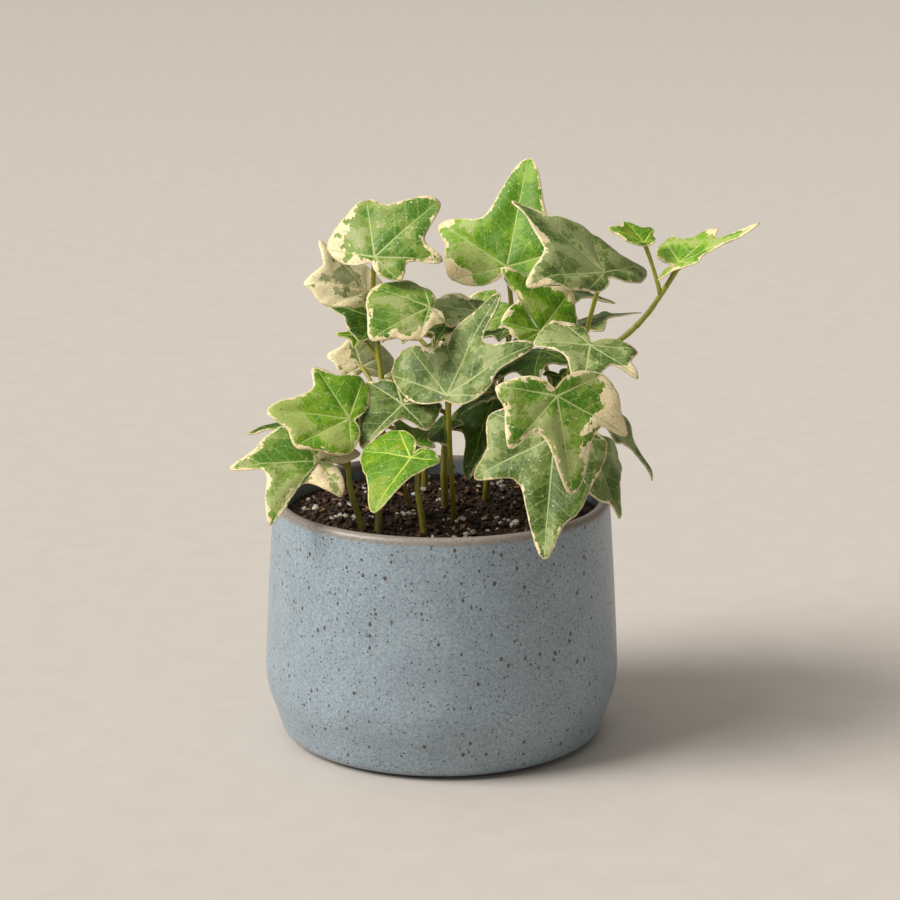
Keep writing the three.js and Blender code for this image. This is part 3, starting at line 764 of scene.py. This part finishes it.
print("blade tip of a 30 mm leaf bent 20 degrees:", bent(np.array([[30.0, 0.0]]), 0, 30, 20, 0).round(1))

# %% Make one leaf
THICKNESS = 0.38
FULL_SIZE = 30  # midrib of the leaf that the next three lines are for. They scale with the leaf. All in mm
CHANNEL_DEPTH, CHANNEL_WIDTH = 0.55, 1.6
HUMP_HEIGHT, HUMP_WIDTH = 0.5, 5
WAVE_HEIGHT, WAVE_WIDTH = 1.5, 9
RIPPLE, RIPPLE_WIDTH = 0.45, 2.6  # of the rim, on a leaf of any size
PUCKER, PUCKER_WIDTH = 0.16, 2.4  # of the tissue, on a leaf of any size
PATTERN_STEP = 110  # mm between two leaves in the colour pattern, so that no two are alike
BESIDE, ITSELF = 0.16, 0.68  # how much of its neighbours a rim point takes when the rim is smoothed


def grow_blade(number, entry):
    """A copy of the blank with this leaf's outline, form and layers."""
    lobes, (bend, fold) = entry["lobes"], entry["form"]
    size = lobes[0][1]
    seed = number * 13.7
    rim = outline_of(lobes, entry["blunt"])
    for _ in range(2):
        rim = BESIDE * np.roll(rim, 1, axis=0) + ITSELF * rim + BESIDE * np.roll(rim, -1, axis=0)
    ripple = wander(rim, RIPPLE_WIDTH, seed)
    reach = np.linalg.norm(rim, axis=1)
    rim = rim * (1 + RIPPLE * ripple * np.clip(reach / 8, 0, 1) / reach)[:, None]
    flat = rim[blank_spoke] * blank_ring[:, None]
    flat[blank_ring < 0.01] = 0
    ahead, aside = sectors(flat, lobes)
    margin = to_rim(flat, rim)
    scale = size / FULL_SIZE
    flank = 1 - np.exp(-(aside / (CHANNEL_WIDTH * scale)) ** 2)
    channel = CHANNEL_DEPTH * scale * flank * np.clip(ahead / 4, 0, 1)
    hump = HUMP_HEIGHT * scale * np.sin(np.clip(margin / (HUMP_WIDTH * scale), 0, 1) * math.pi)
    waves = wander(flat, WAVE_WIDTH * scale, seed + 5)
    wave = WAVE_HEIGHT * scale * waves * np.clip(blank_ring, 0, 1) ** 2
    rise = channel + hump + wave + PUCKER * wander(flat, PUCKER_WIDTH, seed + 9)
    place = bent(flat, rise, size, bend, fold) @ frame_of(*entry["way"]).T + np.array(entry["base"])
    pick(blank)
    bpy.ops.object.duplicate()
    blade = bpy.context.object
    mesh = blade.data
    set_coordinates(blade, place * MM)
    set_layer(mesh, "flat", "FLOAT_VECTOR", "POINT",
              np.column_stack([flat[:, 0] + PATTERN_STEP * number, flat[:, 1], np.zeros(len(flat))]))
    set_layer(mesh, "margin", "FLOAT", "POINT", margin)
    for kind, base in (("cream", entry["edge"]), ("tone", 0.0)):
        amount = np.full(len(flat), float(base))
        for mark, angle, length, width, strength in entry["marks"]:
            if mark == kind:
                far = np.linalg.norm(flat - polar(angle, length), axis=1)
                amount += strength * np.exp(-(far / width) ** 2)
        set_layer(mesh, kind, "FLOAT", "POINT", amount)
    corners = np.empty(len(mesh.loops), dtype=np.int32)
    mesh.loops.foreach_get("vertex_index", corners)
    veins = []
    for face in mesh.polygons:
        rows = list(face.vertices)
        middle = flat[rows].mean(axis=0)
        angles = [abs((math.degrees(math.atan2(middle[1], middle[0])) - lobe[0] + 180) % 360 - 180)
                  for lobe in lobes]
        lobe = lobes[int(np.argmin(angles))]
        way = polar(lobe[0], 1)
        for row in rows:
            p = flat[row]
            veins.append((p @ way, way[0] * p[1] - way[1] * p[0], lobe[1]))
    set_layer(mesh, "veins", "FLOAT_VECTOR", "CORNER", veins)
    return blade


def thicken(blade):
    """Gives the blade its thickness, on its underside, as a second material."""
    pick(blade)
    bpy.ops.object.modifier_add(type="SOLIDIFY")
    skin = blade.modifiers[-1]
    skin.thickness = THICKNESS * MM
    skin.offset = -1.0
    skin.material_offset = 1
    skin.material_offset_rim = 0
    bpy.ops.object.modifier_apply(modifier=skin.name)


PETIOLE_RISE = 0.12  # how far a petiole bows upwards, as a share of its length
PETIOLE_RADIUS, PETIOLE_WAIST = 1.05, 0.25  # mm, at its ends and how much thinner in the middle
INTO_BLADE = 0.75  # mm that its end sits below the blade's upper face


def petiole_line(entry):
    """The route of the leaf's own stalk, in mm."""
    base = np.array(entry["base"], dtype=float)
    start = entry["from"]
    if isinstance(start[0], str):
        stem, share, *bow = start
        first = along(routes[stem], share)
        rising = first + 0.45 * (base - first)
        rising[2] += (bow[0] if bow else PETIOLE_RISE) * np.linalg.norm(base - first)
        return np.array([first] + between(first, rising, base, 14))
    first = np.array([*start, ROOT], dtype=float)
    third = first + 0.6 * (base - first)
    third[1] += (start[1] - base[1]) * 0.15
    return smooth_route([first, (*start, SOIL_TOP + 2), third, base], 8)


def grow_leaf(number, entry, looks):
    """A whole leaf in the place of its CAD node: blade, underside and petiole."""
    blade = grow_blade(number, entry)
    top, underside = looks[entry["finish"]]
    blade.data.materials.clear()
    for look in (top, underside, stalk):
        blade.data.materials.append(look)
    thicken(blade)
    line = petiole_line(entry)
    down = frame_of(*entry["way"]) @ np.array([0, 0, -1.0])
    line[-1] += down * INTO_BLADE
    steps = np.linspace(0, 1, len(line))
    small = min(1.0, 0.62 + entry["lobes"][0][1] / 80)
    radii = [small * (PETIOLE_RADIUS - PETIOLE_WAIST * math.sin(math.pi * t)) for t in steps]
    petiole = tube("petiole", line, radii, roundness=2)
    for face in petiole.data.polygons:
        face.material_index = 2
    for look in (top, underside, stalk):
        petiole.data.materials.append(look)
    pick(blade)
    petiole.select_set(True)
    bpy.ops.object.join()
    finish_piece(blade, entry["name"] + "_grown", None, entry["name"])


print("blade thickness", THICKNESS, "mm")

# %% [markdown]
# ### Finish: variegated ivy leaf
#
# The skin is a satin wax over green tissue. Where a layer of the leaf has no chlorophyll the leaf is cream,
# always from the rim inwards, and where only one layer lacks it the green goes grey or pale. The borders
# follow blocks of cells between small veins, so they are jagged. Here each point takes the colour that its
# block's middle would have, which draws that jagged border, and the veins come from how far a point is along
# and across its own lobe.

# %% Leaf top
def leaf_look(name, deep, middle, pale, cream, vein, amount):
    """The upper side. amount moves the balance from the deep tone to the pale one."""
    look, tree = start_material(name)
    flat, veins = (add_node(tree, "Attribute", attribute_name=layer).outputs["Vector"]
                   for layer in ("flat", "veins"))
    margin, edge, lean = (add_node(tree, "Attribute", attribute_name=layer).outputs["Fac"]
                          for layer in ("margin", "cream", "tone"))
    drift = add_node(tree, "TexNoise", {"Vector": flat, "Scale": 1 / 1.1, "Detail": 2.0})
    shaken = add_node(tree, "VectorMath", {0: drift.outputs["Color"], 1: (0.9, 0.9, 0.0), 2: flat},
                      operation="MULTIPLY_ADD")
    blocks = add_node(tree, "TexVoronoi", {"Vector": shaken, "Scale": 1 / 1.25}, voronoi_dimensions="2D")
    block = blocks.outputs["Position"]
    luck = add_node(tree, "SeparateColor", {"Color": blocks.outputs["Color"]})
    # Tones of green
    patch = add_node(tree, "TexNoise", {"Vector": block, "Scale": 1 / 9.5, "Detail": 1.0})
    leaning = add_node(tree, "Math", {0: patch, 1: lean}, operation="ADD")
    speck = add_node(tree, "Math", {0: luck.outputs["Blue"], 1: 0.07, 2: leaning}, operation="MULTIPLY_ADD")
    weight = add_node(tree, "Math", {0: speck, 1: amount}, operation="ADD")
    is_middle = add_node(tree, "MapRange", {"Value": weight, "From Min": 0.49, "From Max": 0.505})
    is_pale = add_node(tree, "MapRange", {"Value": weight, "From Min": 0.62, "From Max": 0.635})
    green = add_node(tree, "MixRGB", {"Fac": is_middle, "Color1": colour(deep), "Color2": colour(middle)})
    greens = add_node(tree, "MixRGB", {"Fac": is_pale, "Color1": green, "Color2": colour(pale)})
    # Small cells and mottle
    cells = add_node(tree, "TexVoronoi", {"Vector": shaken, "Scale": 1 / 2.1}, voronoi_dimensions="2D",
                     feature="DISTANCE_TO_EDGE")
    net = add_node(tree, "MapRange", {"Value": cells, "From Min": 0.0, "From Max": 0.09, "To Min": 1.0,
                                      "To Max": 0.0})
    mottle = add_node(tree, "TexNoise", {"Vector": flat, "Scale": 1 / 0.8, "Detail": 3.0})
    mottled = add_node(tree, "MapRange", {"Value": mottle, "From Min": 0.3, "From Max": 0.7,
                                          "To Min": 0.84, "To Max": 1.14})
    skin = add_node(tree, "VectorMath", {0: greens, "Scale": mottled}, operation="SCALE")
    # Cream rim
    wander = add_node(tree, "TexNoise", {"Vector": block, "Scale": 1 / 5.5, "Detail": 1.0})
    spread = add_node(tree, "MapRange", {"Value": wander, "From Min": 0.32, "From Max": 0.68,
                                         "To Min": -0.25, "To Max": 2.1})
    width = add_node(tree, "Math", {0: edge, 1: spread}, operation="MULTIPLY")
    jag = add_node(tree, "Math", {0: luck.outputs["Red"], 1: 1.0, 2: margin}, operation="MULTIPLY_ADD")
    inside = add_node(tree, "Math", {0: width, 1: jag}, operation="SUBTRACT")
    is_cream = add_node(tree, "MapRange", {"Value": inside, "From Min": -0.32, "From Max": -0.25})
    thin = add_node(tree, "MapRange", {"Value": margin, "From Min": 0.22, "From Max": 0.5, "To Min": 0.8,
                                       "To Max": 0.0})
    creamy = add_node(tree, "Math", {0: is_cream, 1: thin}, operation="MAXIMUM")
    stain = add_node(tree, "VectorMath", {0: colour(cream)[:3], "Scale": mottled}, operation="SCALE")
    flesh = add_node(tree, "MixRGB", {"Fac": creamy, "Color1": skin, "Color2": stain})
    # Veins
    part = add_node(tree, "SeparateXYZ", {"Vector": veins})
    aside = add_node(tree, "Math", {0: part.outputs["Y"]}, operation="ABSOLUTE")
    taper = add_node(tree, "Math", {0: part.outputs["X"], 1: part.outputs["Z"]}, operation="DIVIDE")
    half = add_node(tree, "MapRange", {"Value": taper, "From Min": 0.0, "From Max": 1.0, "To Min": 0.34,
                                       "To Max": 0.1})
    wavy = add_node(tree, "Math", {0: mottle, 1: 0.35, 2: aside}, operation="MULTIPLY_ADD")
    core = add_node(tree, "Math", {0: wavy, 1: 0.17}, operation="SUBTRACT")
    depth = add_node(tree, "Math", {0: half, 1: core}, operation="SUBTRACT")
    main = add_node(tree, "MapRange", {"Value": depth, "From Min": -0.12, "From Max": 0.1})
    slant = add_node(tree, "Math", {0: aside, 1: -0.8, 2: part.outputs["X"]}, operation="MULTIPLY_ADD")
    bendy = add_node(tree, "Math", {0: drift, 1: 2.2, 2: slant}, operation="MULTIPLY_ADD")
    wave = add_node(tree, "Math", {0: bendy, 1: 2.6}, operation="PINGPONG")
    branch = add_node(tree, "MapRange", {"Value": wave, "From Min": 0.06, "From Max": 0.3, "To Min": 0.5,
                                         "To Max": 0.0})
    fine = add_node(tree, "Math", {0: net, 1: 0.26}, operation="MULTIPLY")
    twigs = add_node(tree, "Math", {0: branch, 1: fine}, operation="MAXIMUM")
    lines = add_node(tree, "Math", {0: main, 1: twigs}, operation="MAXIMUM")
    veined = add_node(tree, "MixRGB", {"Fac": lines, "Color1": flesh, "Color2": colour(vein)})
    # Freckles, dark and pale
    dust = add_node(tree, "TexVoronoi", {"Vector": flat, "Scale": 1 / 2.9}, voronoi_dimensions="2D")
    bits = add_node(tree, "SeparateColor", {"Color": dust.outputs["Color"]})
    grain = add_node(tree, "MapRange", {"Value": dust.outputs["Distance"], "From Min": 0.06, "From Max": 0.12,
                                        "To Min": 1.0, "To Max": 0.0})
    dusted = veined
    for limit, side, strength, tint in ((0.34, "LESS_THAN", 0.5, "33421F"),
                                        (0.86, "GREATER_THAN", 0.6, "E6E6D0")):
        chosen = add_node(tree, "Math", {0: bits.outputs["Red"], 1: limit}, operation=side)
        dot = add_node(tree, "Math", {0: chosen, 1: grain}, operation="MULTIPLY")
        faint = add_node(tree, "Math", {0: dot, 1: strength}, operation="MULTIPLY")
        dusted = add_node(tree, "MixRGB", {"Fac": faint, "Color1": dusted, "Color2": colour(tint)})
    # Relief
    sunk = add_node(tree, "Math", {0: lines, 1: -0.8, 2: mottle}, operation="MULTIPLY_ADD")
    bump = add_node(tree, "Bump", {"Height": sunk, "Strength": 0.5, "Distance": 0.00025})
    gloss = add_node(tree, "MapRange", {"Value": mottle, "From Min": 0.3, "From Max": 0.7, "To Min": 0.4,
                                        "To Max": 0.54})
    surface = add_node(tree, "BsdfPrincipled", {
        "Base Color": dusted, "Roughness": gloss, "Normal": bump, "Specular IOR Level": 0.32,
        "Subsurface Weight": 0.12, "Subsurface Scale": 0.0015, "Subsurface Radius": (0.6, 1.0, 0.25)})
    add_node(tree, "OutputMaterial", {"Surface": surface})
    return look


def underside_look(name, tone, vein):
    """The lower side: paler, matt, with the veins standing proud."""
    look, tree = start_material(name)
    flat = add_node(tree, "Attribute", attribute_name="flat").outputs["Vector"]
    veins = add_node(tree, "Attribute", attribute_name="veins").outputs["Vector"]
    margin = add_node(tree, "Attribute", attribute_name="margin").outputs["Fac"]
    part = add_node(tree, "SeparateXYZ", {"Vector": veins})
    aside = add_node(tree, "Math", {0: part.outputs["Y"]}, operation="ABSOLUTE")
    main = add_node(tree, "MapRange", {"Value": aside, "From Min": 0.2, "From Max": 0.5, "To Min": 1.0,
                                       "To Max": 0.0})
    cells = add_node(tree, "TexVoronoi", {"Vector": flat, "Scale": 1 / 2.1}, voronoi_dimensions="2D",
                     feature="DISTANCE_TO_EDGE")
    net = add_node(tree, "MapRange", {"Value": cells, "From Min": 0.0, "From Max": 0.1, "To Min": 0.3,
                                      "To Max": 0.0})
    lines = add_node(tree, "Math", {0: main, 1: net}, operation="MAXIMUM")
    mottle = add_node(tree, "TexNoise", {"Vector": flat, "Scale": 1 / 3, "Detail": 4.0})
    skin = add_node(tree, "ValToRGB", {"Fac": mottle}, stops=[(0.35, colour(tone)), (0.7, colour("A3A894"))])
    veined = add_node(tree, "MixRGB", {"Fac": lines, "Color1": skin, "Color2": colour(vein)})
    rim = add_node(tree, "MapRange", {"Value": margin, "From Min": 0.2, "From Max": 0.5, "To Min": 0.8,
                                      "To Max": 0.0})
    rimmed = add_node(tree, "MixRGB", {"Fac": rim, "Color1": veined, "Color2": colour("DDD3AE")})
    bump = add_node(tree, "Bump", {"Height": lines, "Strength": 0.6, "Distance": 0.0003})
    surface = add_node(tree, "BsdfPrincipled", {
        "Base Color": rimmed, "Roughness": 0.62, "Normal": bump, "Subsurface Weight": 0.12,
        "Subsurface Scale": 0.0015})
    add_node(tree, "OutputMaterial", {"Surface": surface})
    return look


print("leaf looks ready to make")

# %% Six finishes
below = underside_look("ivy leaf, underside", "6F7C58", "B6BF92")
below_young = underside_look("young ivy leaf, underside", "84993C", "C4D188")
TONES = {  # deep, middle and pale green, cream, vein, and the balance between the greens
    "bright": ("ivy leaf, fresh green", "5C8E10", "7CA620", "A4B65E", "F6E2B4", "B6CA70", -0.03),
    "grey": ("ivy leaf, grey-green", "4C6622", "6C823C", "98A468", "F4E0B6", "B6C284", 0.01),
    "marbled": ("ivy leaf, marbled", "52801A", "7A9636", "A0AC68", "F6E2B6", "B8C67E", -0.01),
    # dark is the fresh green palette darkened throughout, its cream and veins too: painted shade for the leaves
    # inside the plant and under other leaves
    "dark": ("ivy leaf, deep green with painted shade", "38580A", "4A6A10", "6C8630", "E2D4A2", "8CA84A", -0.05),
    "cream": ("ivy leaf, mostly cream", "84944C", "98A46A", "AEB684", "FFF0C2", "F0E4AC", 0.05),
    "young": ("young ivy leaf, yellow-green", "548402", "629204", "829F18", "EADF9E", "BCD454", -0.03),
}
looks = {finish: (leaf_look(*tones), below_young if finish == "young" else below)
         for finish, tones in TONES.items()}
# Width of the cream rim in each finish, in mm, before chance and MARKS change it
EDGES = {"bright": 0.8, "grey": 0.5, "marbled": 1.1, "dark": 0.4, "cream": 6.0, "young": 0.35}
print("finishes:", list(looks))

# %% Every leaf of the plant
def leaf(name, finish, start, base, way, form, lobes):
    """One row of the table below. base has its height above the soil."""
    place = (base[0], base[1], base[2] + SOIL_TOP)
    return {"name": name, "finish": finish, "from": start, "base": place, "way": way, "form": form,
            "lobes": lobes, "edge": EDGES[finish], "marks": MARKS.get(name, ()),
            "blunt": BLUNT.get(name, USUAL_BLUNT)}


# How far an edge swells on its way to the bay, in degrees, on leaves whose lobes are rounder
USUAL_BLUNT = 20
BLUNT = {"leaf_top": 30, "leaf_top_left": 34, "leaf_tip_bud": 40, "leaf_left_pale": 30,
         "leaf_front_bright": 26}
# Where a leaf has more cream, or paler tissue, than its edge alone, and where a negative tone makes it darker,
# as the painted shade on leaf_over_rim: kind, angle, distance, width, strength
MARKS = {
    "leaf_top_left": [("cream", 119, 15, 7, 9), ("cream", 92, 19, 5, 4), ("tone", 54, 20, 8, 0.16),
                      ("tone", 28, 20, 5, 0.18), ("tone", 95, 8, 5, 0.15), ("tone", -25, 14, 12, -0.12)],
    "leaf_left_cream": [("tone", 0, 4, 7, 0.05), ("cream", 60, 18, 9, 5), ("cream", -40, 12, 6, 5)],
    "leaf_left_folded": [("cream", 60, 9, 6, 3), ("cream", 18, 18, 5, 4), ("tone", -60, 10, 12, 0.12)],
    "leaf_left_pale": [("cream", -68, 10, 10, -13), ("tone", -68, 10, 9, 0.3), ("cream", 40, 9, 5, 8)],
    "leaf_behind_centre": [("cream", -54, 12, 5, 5), ("tone", 0, 8, 12, 0.12)],
    "leaf_centre": [("cream", 30, 20, 4, 7), ("tone", 52, 18, 8, 0.12), ("tone", -30, 20, 10, 0.1)],
    "leaf_top": [("tone", 61, 22, 9, 0.14), ("tone", 100, 13, 7, 0.2), ("cream", 61, 31, 5, 6),
                 ("cream", 100, 17, 5, 5), ("tone", 40, 10, 7, -0.08), ("tone", -20, 24, 14, -0.1)],
    "leaf_top_right": [("cream", 25, 26, 4, 5), ("cream", 64, 33, 4, 4), ("tone", -40, 14, 20, 0.16)],
    "leaf_upper_middle": [("cream", -52, 24, 6, 6), ("cream", 40, 16, 4, 5)],
    "leaf_right": [("tone", -120, 12, 8, 0.25), ("cream", -140, 16, 4, 3), ("cream", 57, 18, 4, 3)],
    "leaf_front_right": [("cream", 55, 25, 8, 16), ("cream", 84, 20, 6, 6), ("cream", 24, 19, 4, 4),
                         ("tone", -20, 14, 10, 0.28), ("tone", 25, 10, 6, -0.15), ("tone", -80, 12, 9, -0.1)],
    # The negative tone over the middle of leaf_over_rim is a painted shadow, cast by leaf_front_right above it
    "leaf_over_rim": [("tone", 10, 14, 16, -0.1), ("tone", 0, 34, 7, 0.12), ("tone", -70, 18, 7, 0.16)],
    "leaf_middle_left": [("tone", 0, 10, 14, -0.08)],
    "leaf_left": [("tone", 4, 22, 10, 0.26), ("tone", 70, 10, 8, 0.24), ("tone", -100, 12, 9, -0.15)],
    "leaf_left_low": [("tone", 49, 18, 9, 0.25), ("cream", 108, 14, 8, 18), ("cream", -165, 12, 8, 18),
                      ("tone", 90, 8, 6, 0.25), ("tone", -50, 12, 10, -0.05)],
    "leaf_front_bright": [("tone", 0, 18, 5, 0.3), ("tone", 120, 6, 6, -0.1)],
    "leaf_far_right": [("cream", 39, 18, 3, 3), ("tone", 10, 18, 12, 0.16)],
}
# Name, finish, where its petiole starts (a stem and the share of the way along it, or a place in the soil),
# base of the blade, way (heading, pitch and roll), form (bend and fold), and lobes (angle and length from the
# base, then, where it isn't the usual one, the depth and the turn of the bay after it). In mm and degrees.
LEAVES = [
  # Left, upper
  leaf("leaf_top_left", "marbled", ["stem_left_tall", 1], [-22, -5, 87], [27, 37, 40], [20, -0.1],
    [[-2, 30, 0.84, 10], [54, 24, 1.12, -3], [119, 18], [-93, 12, 0.76, 11], [-50, 23, 0.73, -3]]),
  leaf("leaf_left_cream", "cream", ["stem_left_tall", 0.93], [-25, 8, 73], [139, 40, 8], [10, 0],
    [[9, 25, 0.84, 6], [68, 24, 1.05], [98, 20], [-113, 12, 1.1], [-41, 14, 0.93, 10]]),
  leaf("leaf_left_shaded", "dark", ["stem_left_tall", 0.8], [-21, 6, 64], [165, 5, -30], [10, 0],
    [[-11, 21, 1, -12], [74, 12, 0.95, -5], [120, 9], [-123, 6, 1.2], [-34, 14]]),
  leaf("leaf_left_bud", "young", ["stem_left_tall", 0.76], [-27, 3, 59], [190, 5, -40], [10, 0],
    three_lobes(9)),
  leaf("leaf_left_folded", "marbled", ["stem_left_tall", 0.88], [-4, -15, 72], [-144, -20, -35], [30, -0.1],
    [[-1, 25, 1], [36, 15, 0.9], [100, 7], [-123, 14, 1.15, -4], [-65, 21, 1.1, 7]]),
  leaf("leaf_left_pale", "cream", ["stem_left_tall", 0.6], [-27, 5, 48], [115, 45, 0], [10, 0],
    [[0, 12, 0.94], [57, 12, 1.1], [110, 7], [-110, 10, 1.2], [-68, 17, 1.1]]),
  leaf("leaf_left_small", "grey", ["stem_left_tall", 0.55], [-16, 1, 46], [-140, -50, 0], [10, 0],
    three_lobes(9)),
  # Middle
  leaf("leaf_inner_1", "dark", ["stem_centre", 0.92], [-8, 3.5, 60], [180, -15, 0], [15, 0], five_lobes(13)),
  leaf("leaf_inner_2", "bright", ["stem_centre", 0.86], [-4, -1, 56], [-160, -25, 0], [10, 0],
    three_lobes(10)),
  leaf("leaf_inner_3", "dark", ["stem_centre", 0.96], [2, 2, 63], [-120, -30, 0], [10, 0], three_lobes(12)),
  leaf("leaf_behind_centre", "grey", ["stem_centre", 1], [12, 4, 67], [174, 7, -20], [10, 0],
    [[0, 17, 0.95], [54, 14], [125, 8], [-95, 9], [-54, 14, 1]]),
  leaf("leaf_centre", "grey", [4, -10], [2, -26, 45], [60, 50, -5], [20, 0],
    [[-9, 41, 0.65, 8], [52, 28, 1.04], [76, 27], [-85, 12, 1], [-49, 34, 0.6, 5]]),
  leaf("leaf_middle_left", "grey", ["stem_centre", 0.6], [-13, -17, 40], [-147, -40, -32], [20, 0],
    [[0, 21, 0.48, 3], [80, 13, 1.1], [134, 13], [-124, 10, 1.1, 5], [-92, 17, 1.1, 10]]),
  leaf("leaf_inner_low", "dark", ["stem_centre", 0.5], [1, -4, 30], [-150, -35, 0], [10, 0], five_lobes(16)),
  leaf("leaf_inner_big", "dark", ["stem_centre", 0.7], [18, -3, 40], [-130, -62, 10], [15, 0],
    five_lobes(31)),
  leaf("leaf_inner_curled", "dark", ["stem_right", 0.8], [17, -14, 42], [190, -25, 0], [30, 0.2],
    three_lobes(10)),
  # Top
  leaf("leaf_top", "bright", ["stem_top", 1], [22, 10, 81], [72, 62, 0], [10, 0],
    [[-3, 40, 0.66, 4], [61, 31, 1.04, -6], [106, 20], [-129, 13, 1.2], [-69, 24, 0.84, -3]]),
  leaf("leaf_top_right", "grey", ["stem_trailing", 0.6], [53, -12, 83], [164, 35, -12], [15, 0],
    [[-3, 40, 0.76, 4], [64, 35, 1.12, -2], [92, 16], [-107, 31, 0.77, -10], [-51, 20, 1.04, 16]]),
  leaf("leaf_upper_middle", "bright", ["stem_top", 0.85], [32, -20, 65], [120, 50, 0], [10, 0],
    [[14, 26, 0.76, -20], [68, 14, 1.13, -6], [110, 8], [-95, 14, 1.05], [-52, 25, 0.86, -8]]),
  leaf("leaf_upper_inner", "dark", ["stem_top", 0.9], [21, 0, 61], [200, -10, 0], [10, 0], five_lobes(12)),
  leaf("leaf_upper_bud", "young", ["stem_centre", 0.9], [17, -8, 54], [-110, -50, 0], [10, 0],
    three_lobes(8)),
  # Right
  leaf("leaf_tip_bud", "young", ["stem_trailing", 0.96], [67, 0, 91], [118, 23, 9], [0, 0.2],
    [[-1, 14, 0.8], [57, 13, 0.95], [102, 8], [-77, 5, 1], [-45, 11, 0.85]]),
  leaf("leaf_far_right", "bright", ["stem_trailing", 0.83, -0.12], [79, 0, 84], [-6, 26, 18], [0, 0.1],
    [[4, 31, 0.66], [39, 20, 0.74], [99, 24], [-160, 10], [-45, 9]]),
  leaf("leaf_right_behind", "grey", ["stem_trailing", 0.5], [46, 20, 59], [-5, 12, 0], [15, 0],
    five_lobes(23)),
  leaf("leaf_right_thin", "grey", ["stem_top", 0.97], [40, 16, 72], [-8, -12, 0], [10, 0], three_lobes(20)),
  leaf("leaf_right", "grey", ["stem_right", 1], [47.7, -34, 63.3], [-98, -38, -8], [20, 0],
    [[-3, 23, 0.6, 12], [57, 20, 0.87, -2], [96, 16], [-140, 18, 1.07, -2], [-92, 18, 0.7, -3]]),
  leaf("leaf_front_right", "marbled", ["stem_right", 0.9], [36, -62, 53], [-64, -69, 7], [15, 0],
    [[-1, 33, 0.63, 17], [55, 27, 1.07, -3], [107, 19], [-108, 20, 0.93, -6], [-51, 24, 0.54, -12]]),
  leaf("leaf_over_rim", "grey", ["stem_right", 0.6], [36, -50, 37], [-100, -65, 5], [10, 0],
    [[-1, 41, 1.06, -3], [37, 21, 1.1], [88, 17], [-110, 24, 0.91, 4], [-62, 30, 0.62, -6]]),
  leaf("leaf_right_low", "grey", ["stem_right", 0.68], [48, -32, 29.5], [-46, -62, -15], [10, 0],
    [[6, 26, 0.83, -4], [74, 23, 1.15], [105, 14], [-85, 11, 1.1], [-43, 19, 0.99, 9]]),
  leaf("leaf_right_under", "grey", ["stem_right", 0.75], [53, 9, 30], [-12, -48, 0], [20, 0.2],
    three_lobes(30)),
  leaf("leaf_arch", "dark", ["stem_trailing", 0.42], [33, 0, 54], [-160, -28, 0], [40, -0.2], five_lobes(26)),
  leaf("leaf_right_inner", "dark", ["stem_right", 0.92], [40, -6, 47], [-50, -30, 0], [10, 0],
    five_lobes(14)),
  # Left, lower
  leaf("leaf_front_bright", "young", ["stem_front", 1], [-10, -42, 28], [-135, -45, -15], [20, -0.1],
    [[-2, 23, 0.94, -5], [112, 10, 1.1], [155, 7], [-129, 16, 1.14], [-85, 20, 0.97, 6]]),
  leaf("leaf_front_behind", "bright", ["stem_front", 0.9], [-9, -20, 28], [120, 20, 0], [10, 0],
    five_lobes(15)),
  leaf("leaf_near_soil", "bright", [-7, -13], [-13, -22, 17], [-150, -35, 0], [10, 0.2], three_lobes(10)),
  leaf("leaf_left", "bright", ["stem_left_low", 1], [-30.5, -23, 36.5], [-172, 7, -44], [20, 0],
    [[0, 28, 0.92, 3], [36, 22, 1.14, -6], [94, 13], [-107, 20, 0.9, 3], [-61, 24, 0.7, -6]]),
  leaf("leaf_left_low", "marbled", ["stem_left_low", 0.85], [-40, -30, 24], [-170, -5, -35], [20, 0],
    [[-2, 30, 0.67, -14], [49, 31, 0.55, -18], [111, 16], [-165, 16], [-69, 20, 1.05, 12]]),
  leaf("leaf_left_dark", "dark", ["stem_left_low", 0.95], [-44, -2, 31], [185, -12, 0], [15, 0],
    five_lobes(22)),
  # Back
  leaf("leaf_back_1", "grey", ["stem_back", 0.95], [-14, 38, 56], [130, 20, 15], [15, 0], five_lobes(30)),
  leaf("leaf_back_2", "marbled", ["stem_back", 1], [10, 40, 54], [75, 15, -10], [15, 0], five_lobes(32)),
  leaf("leaf_back_3", "bright", ["stem_back", 0.8], [30, 40, 44], [50, -10, -15], [15, 0], five_lobes(28)),
  leaf("leaf_back_4", "grey", ["stem_back", 0.7], [-30, 30, 30], [140, -25, 10], [15, 0], five_lobes(28)),
  leaf("leaf_back_5", "marbled", ["stem_back", 0.6], [-4, 48, 36], [92, -35, 0], [15, 0], five_lobes(33)),
  leaf("leaf_back_6", "dark", ["stem_back", 0.5], [26, 46, 22], [60, -45, -10], [15, 0], five_lobes(28)),
  leaf("leaf_back_7", "grey", ["stem_back", 0.45], [-30, 44, 20], [125, -45, 10], [15, 0], five_lobes(28)),
]

for number, entry in enumerate(LEAVES):
    grow_leaf(number, entry, looks)
pick(blank)
bpy.ops.object.delete()
print("leaves:", len(LEAVES))
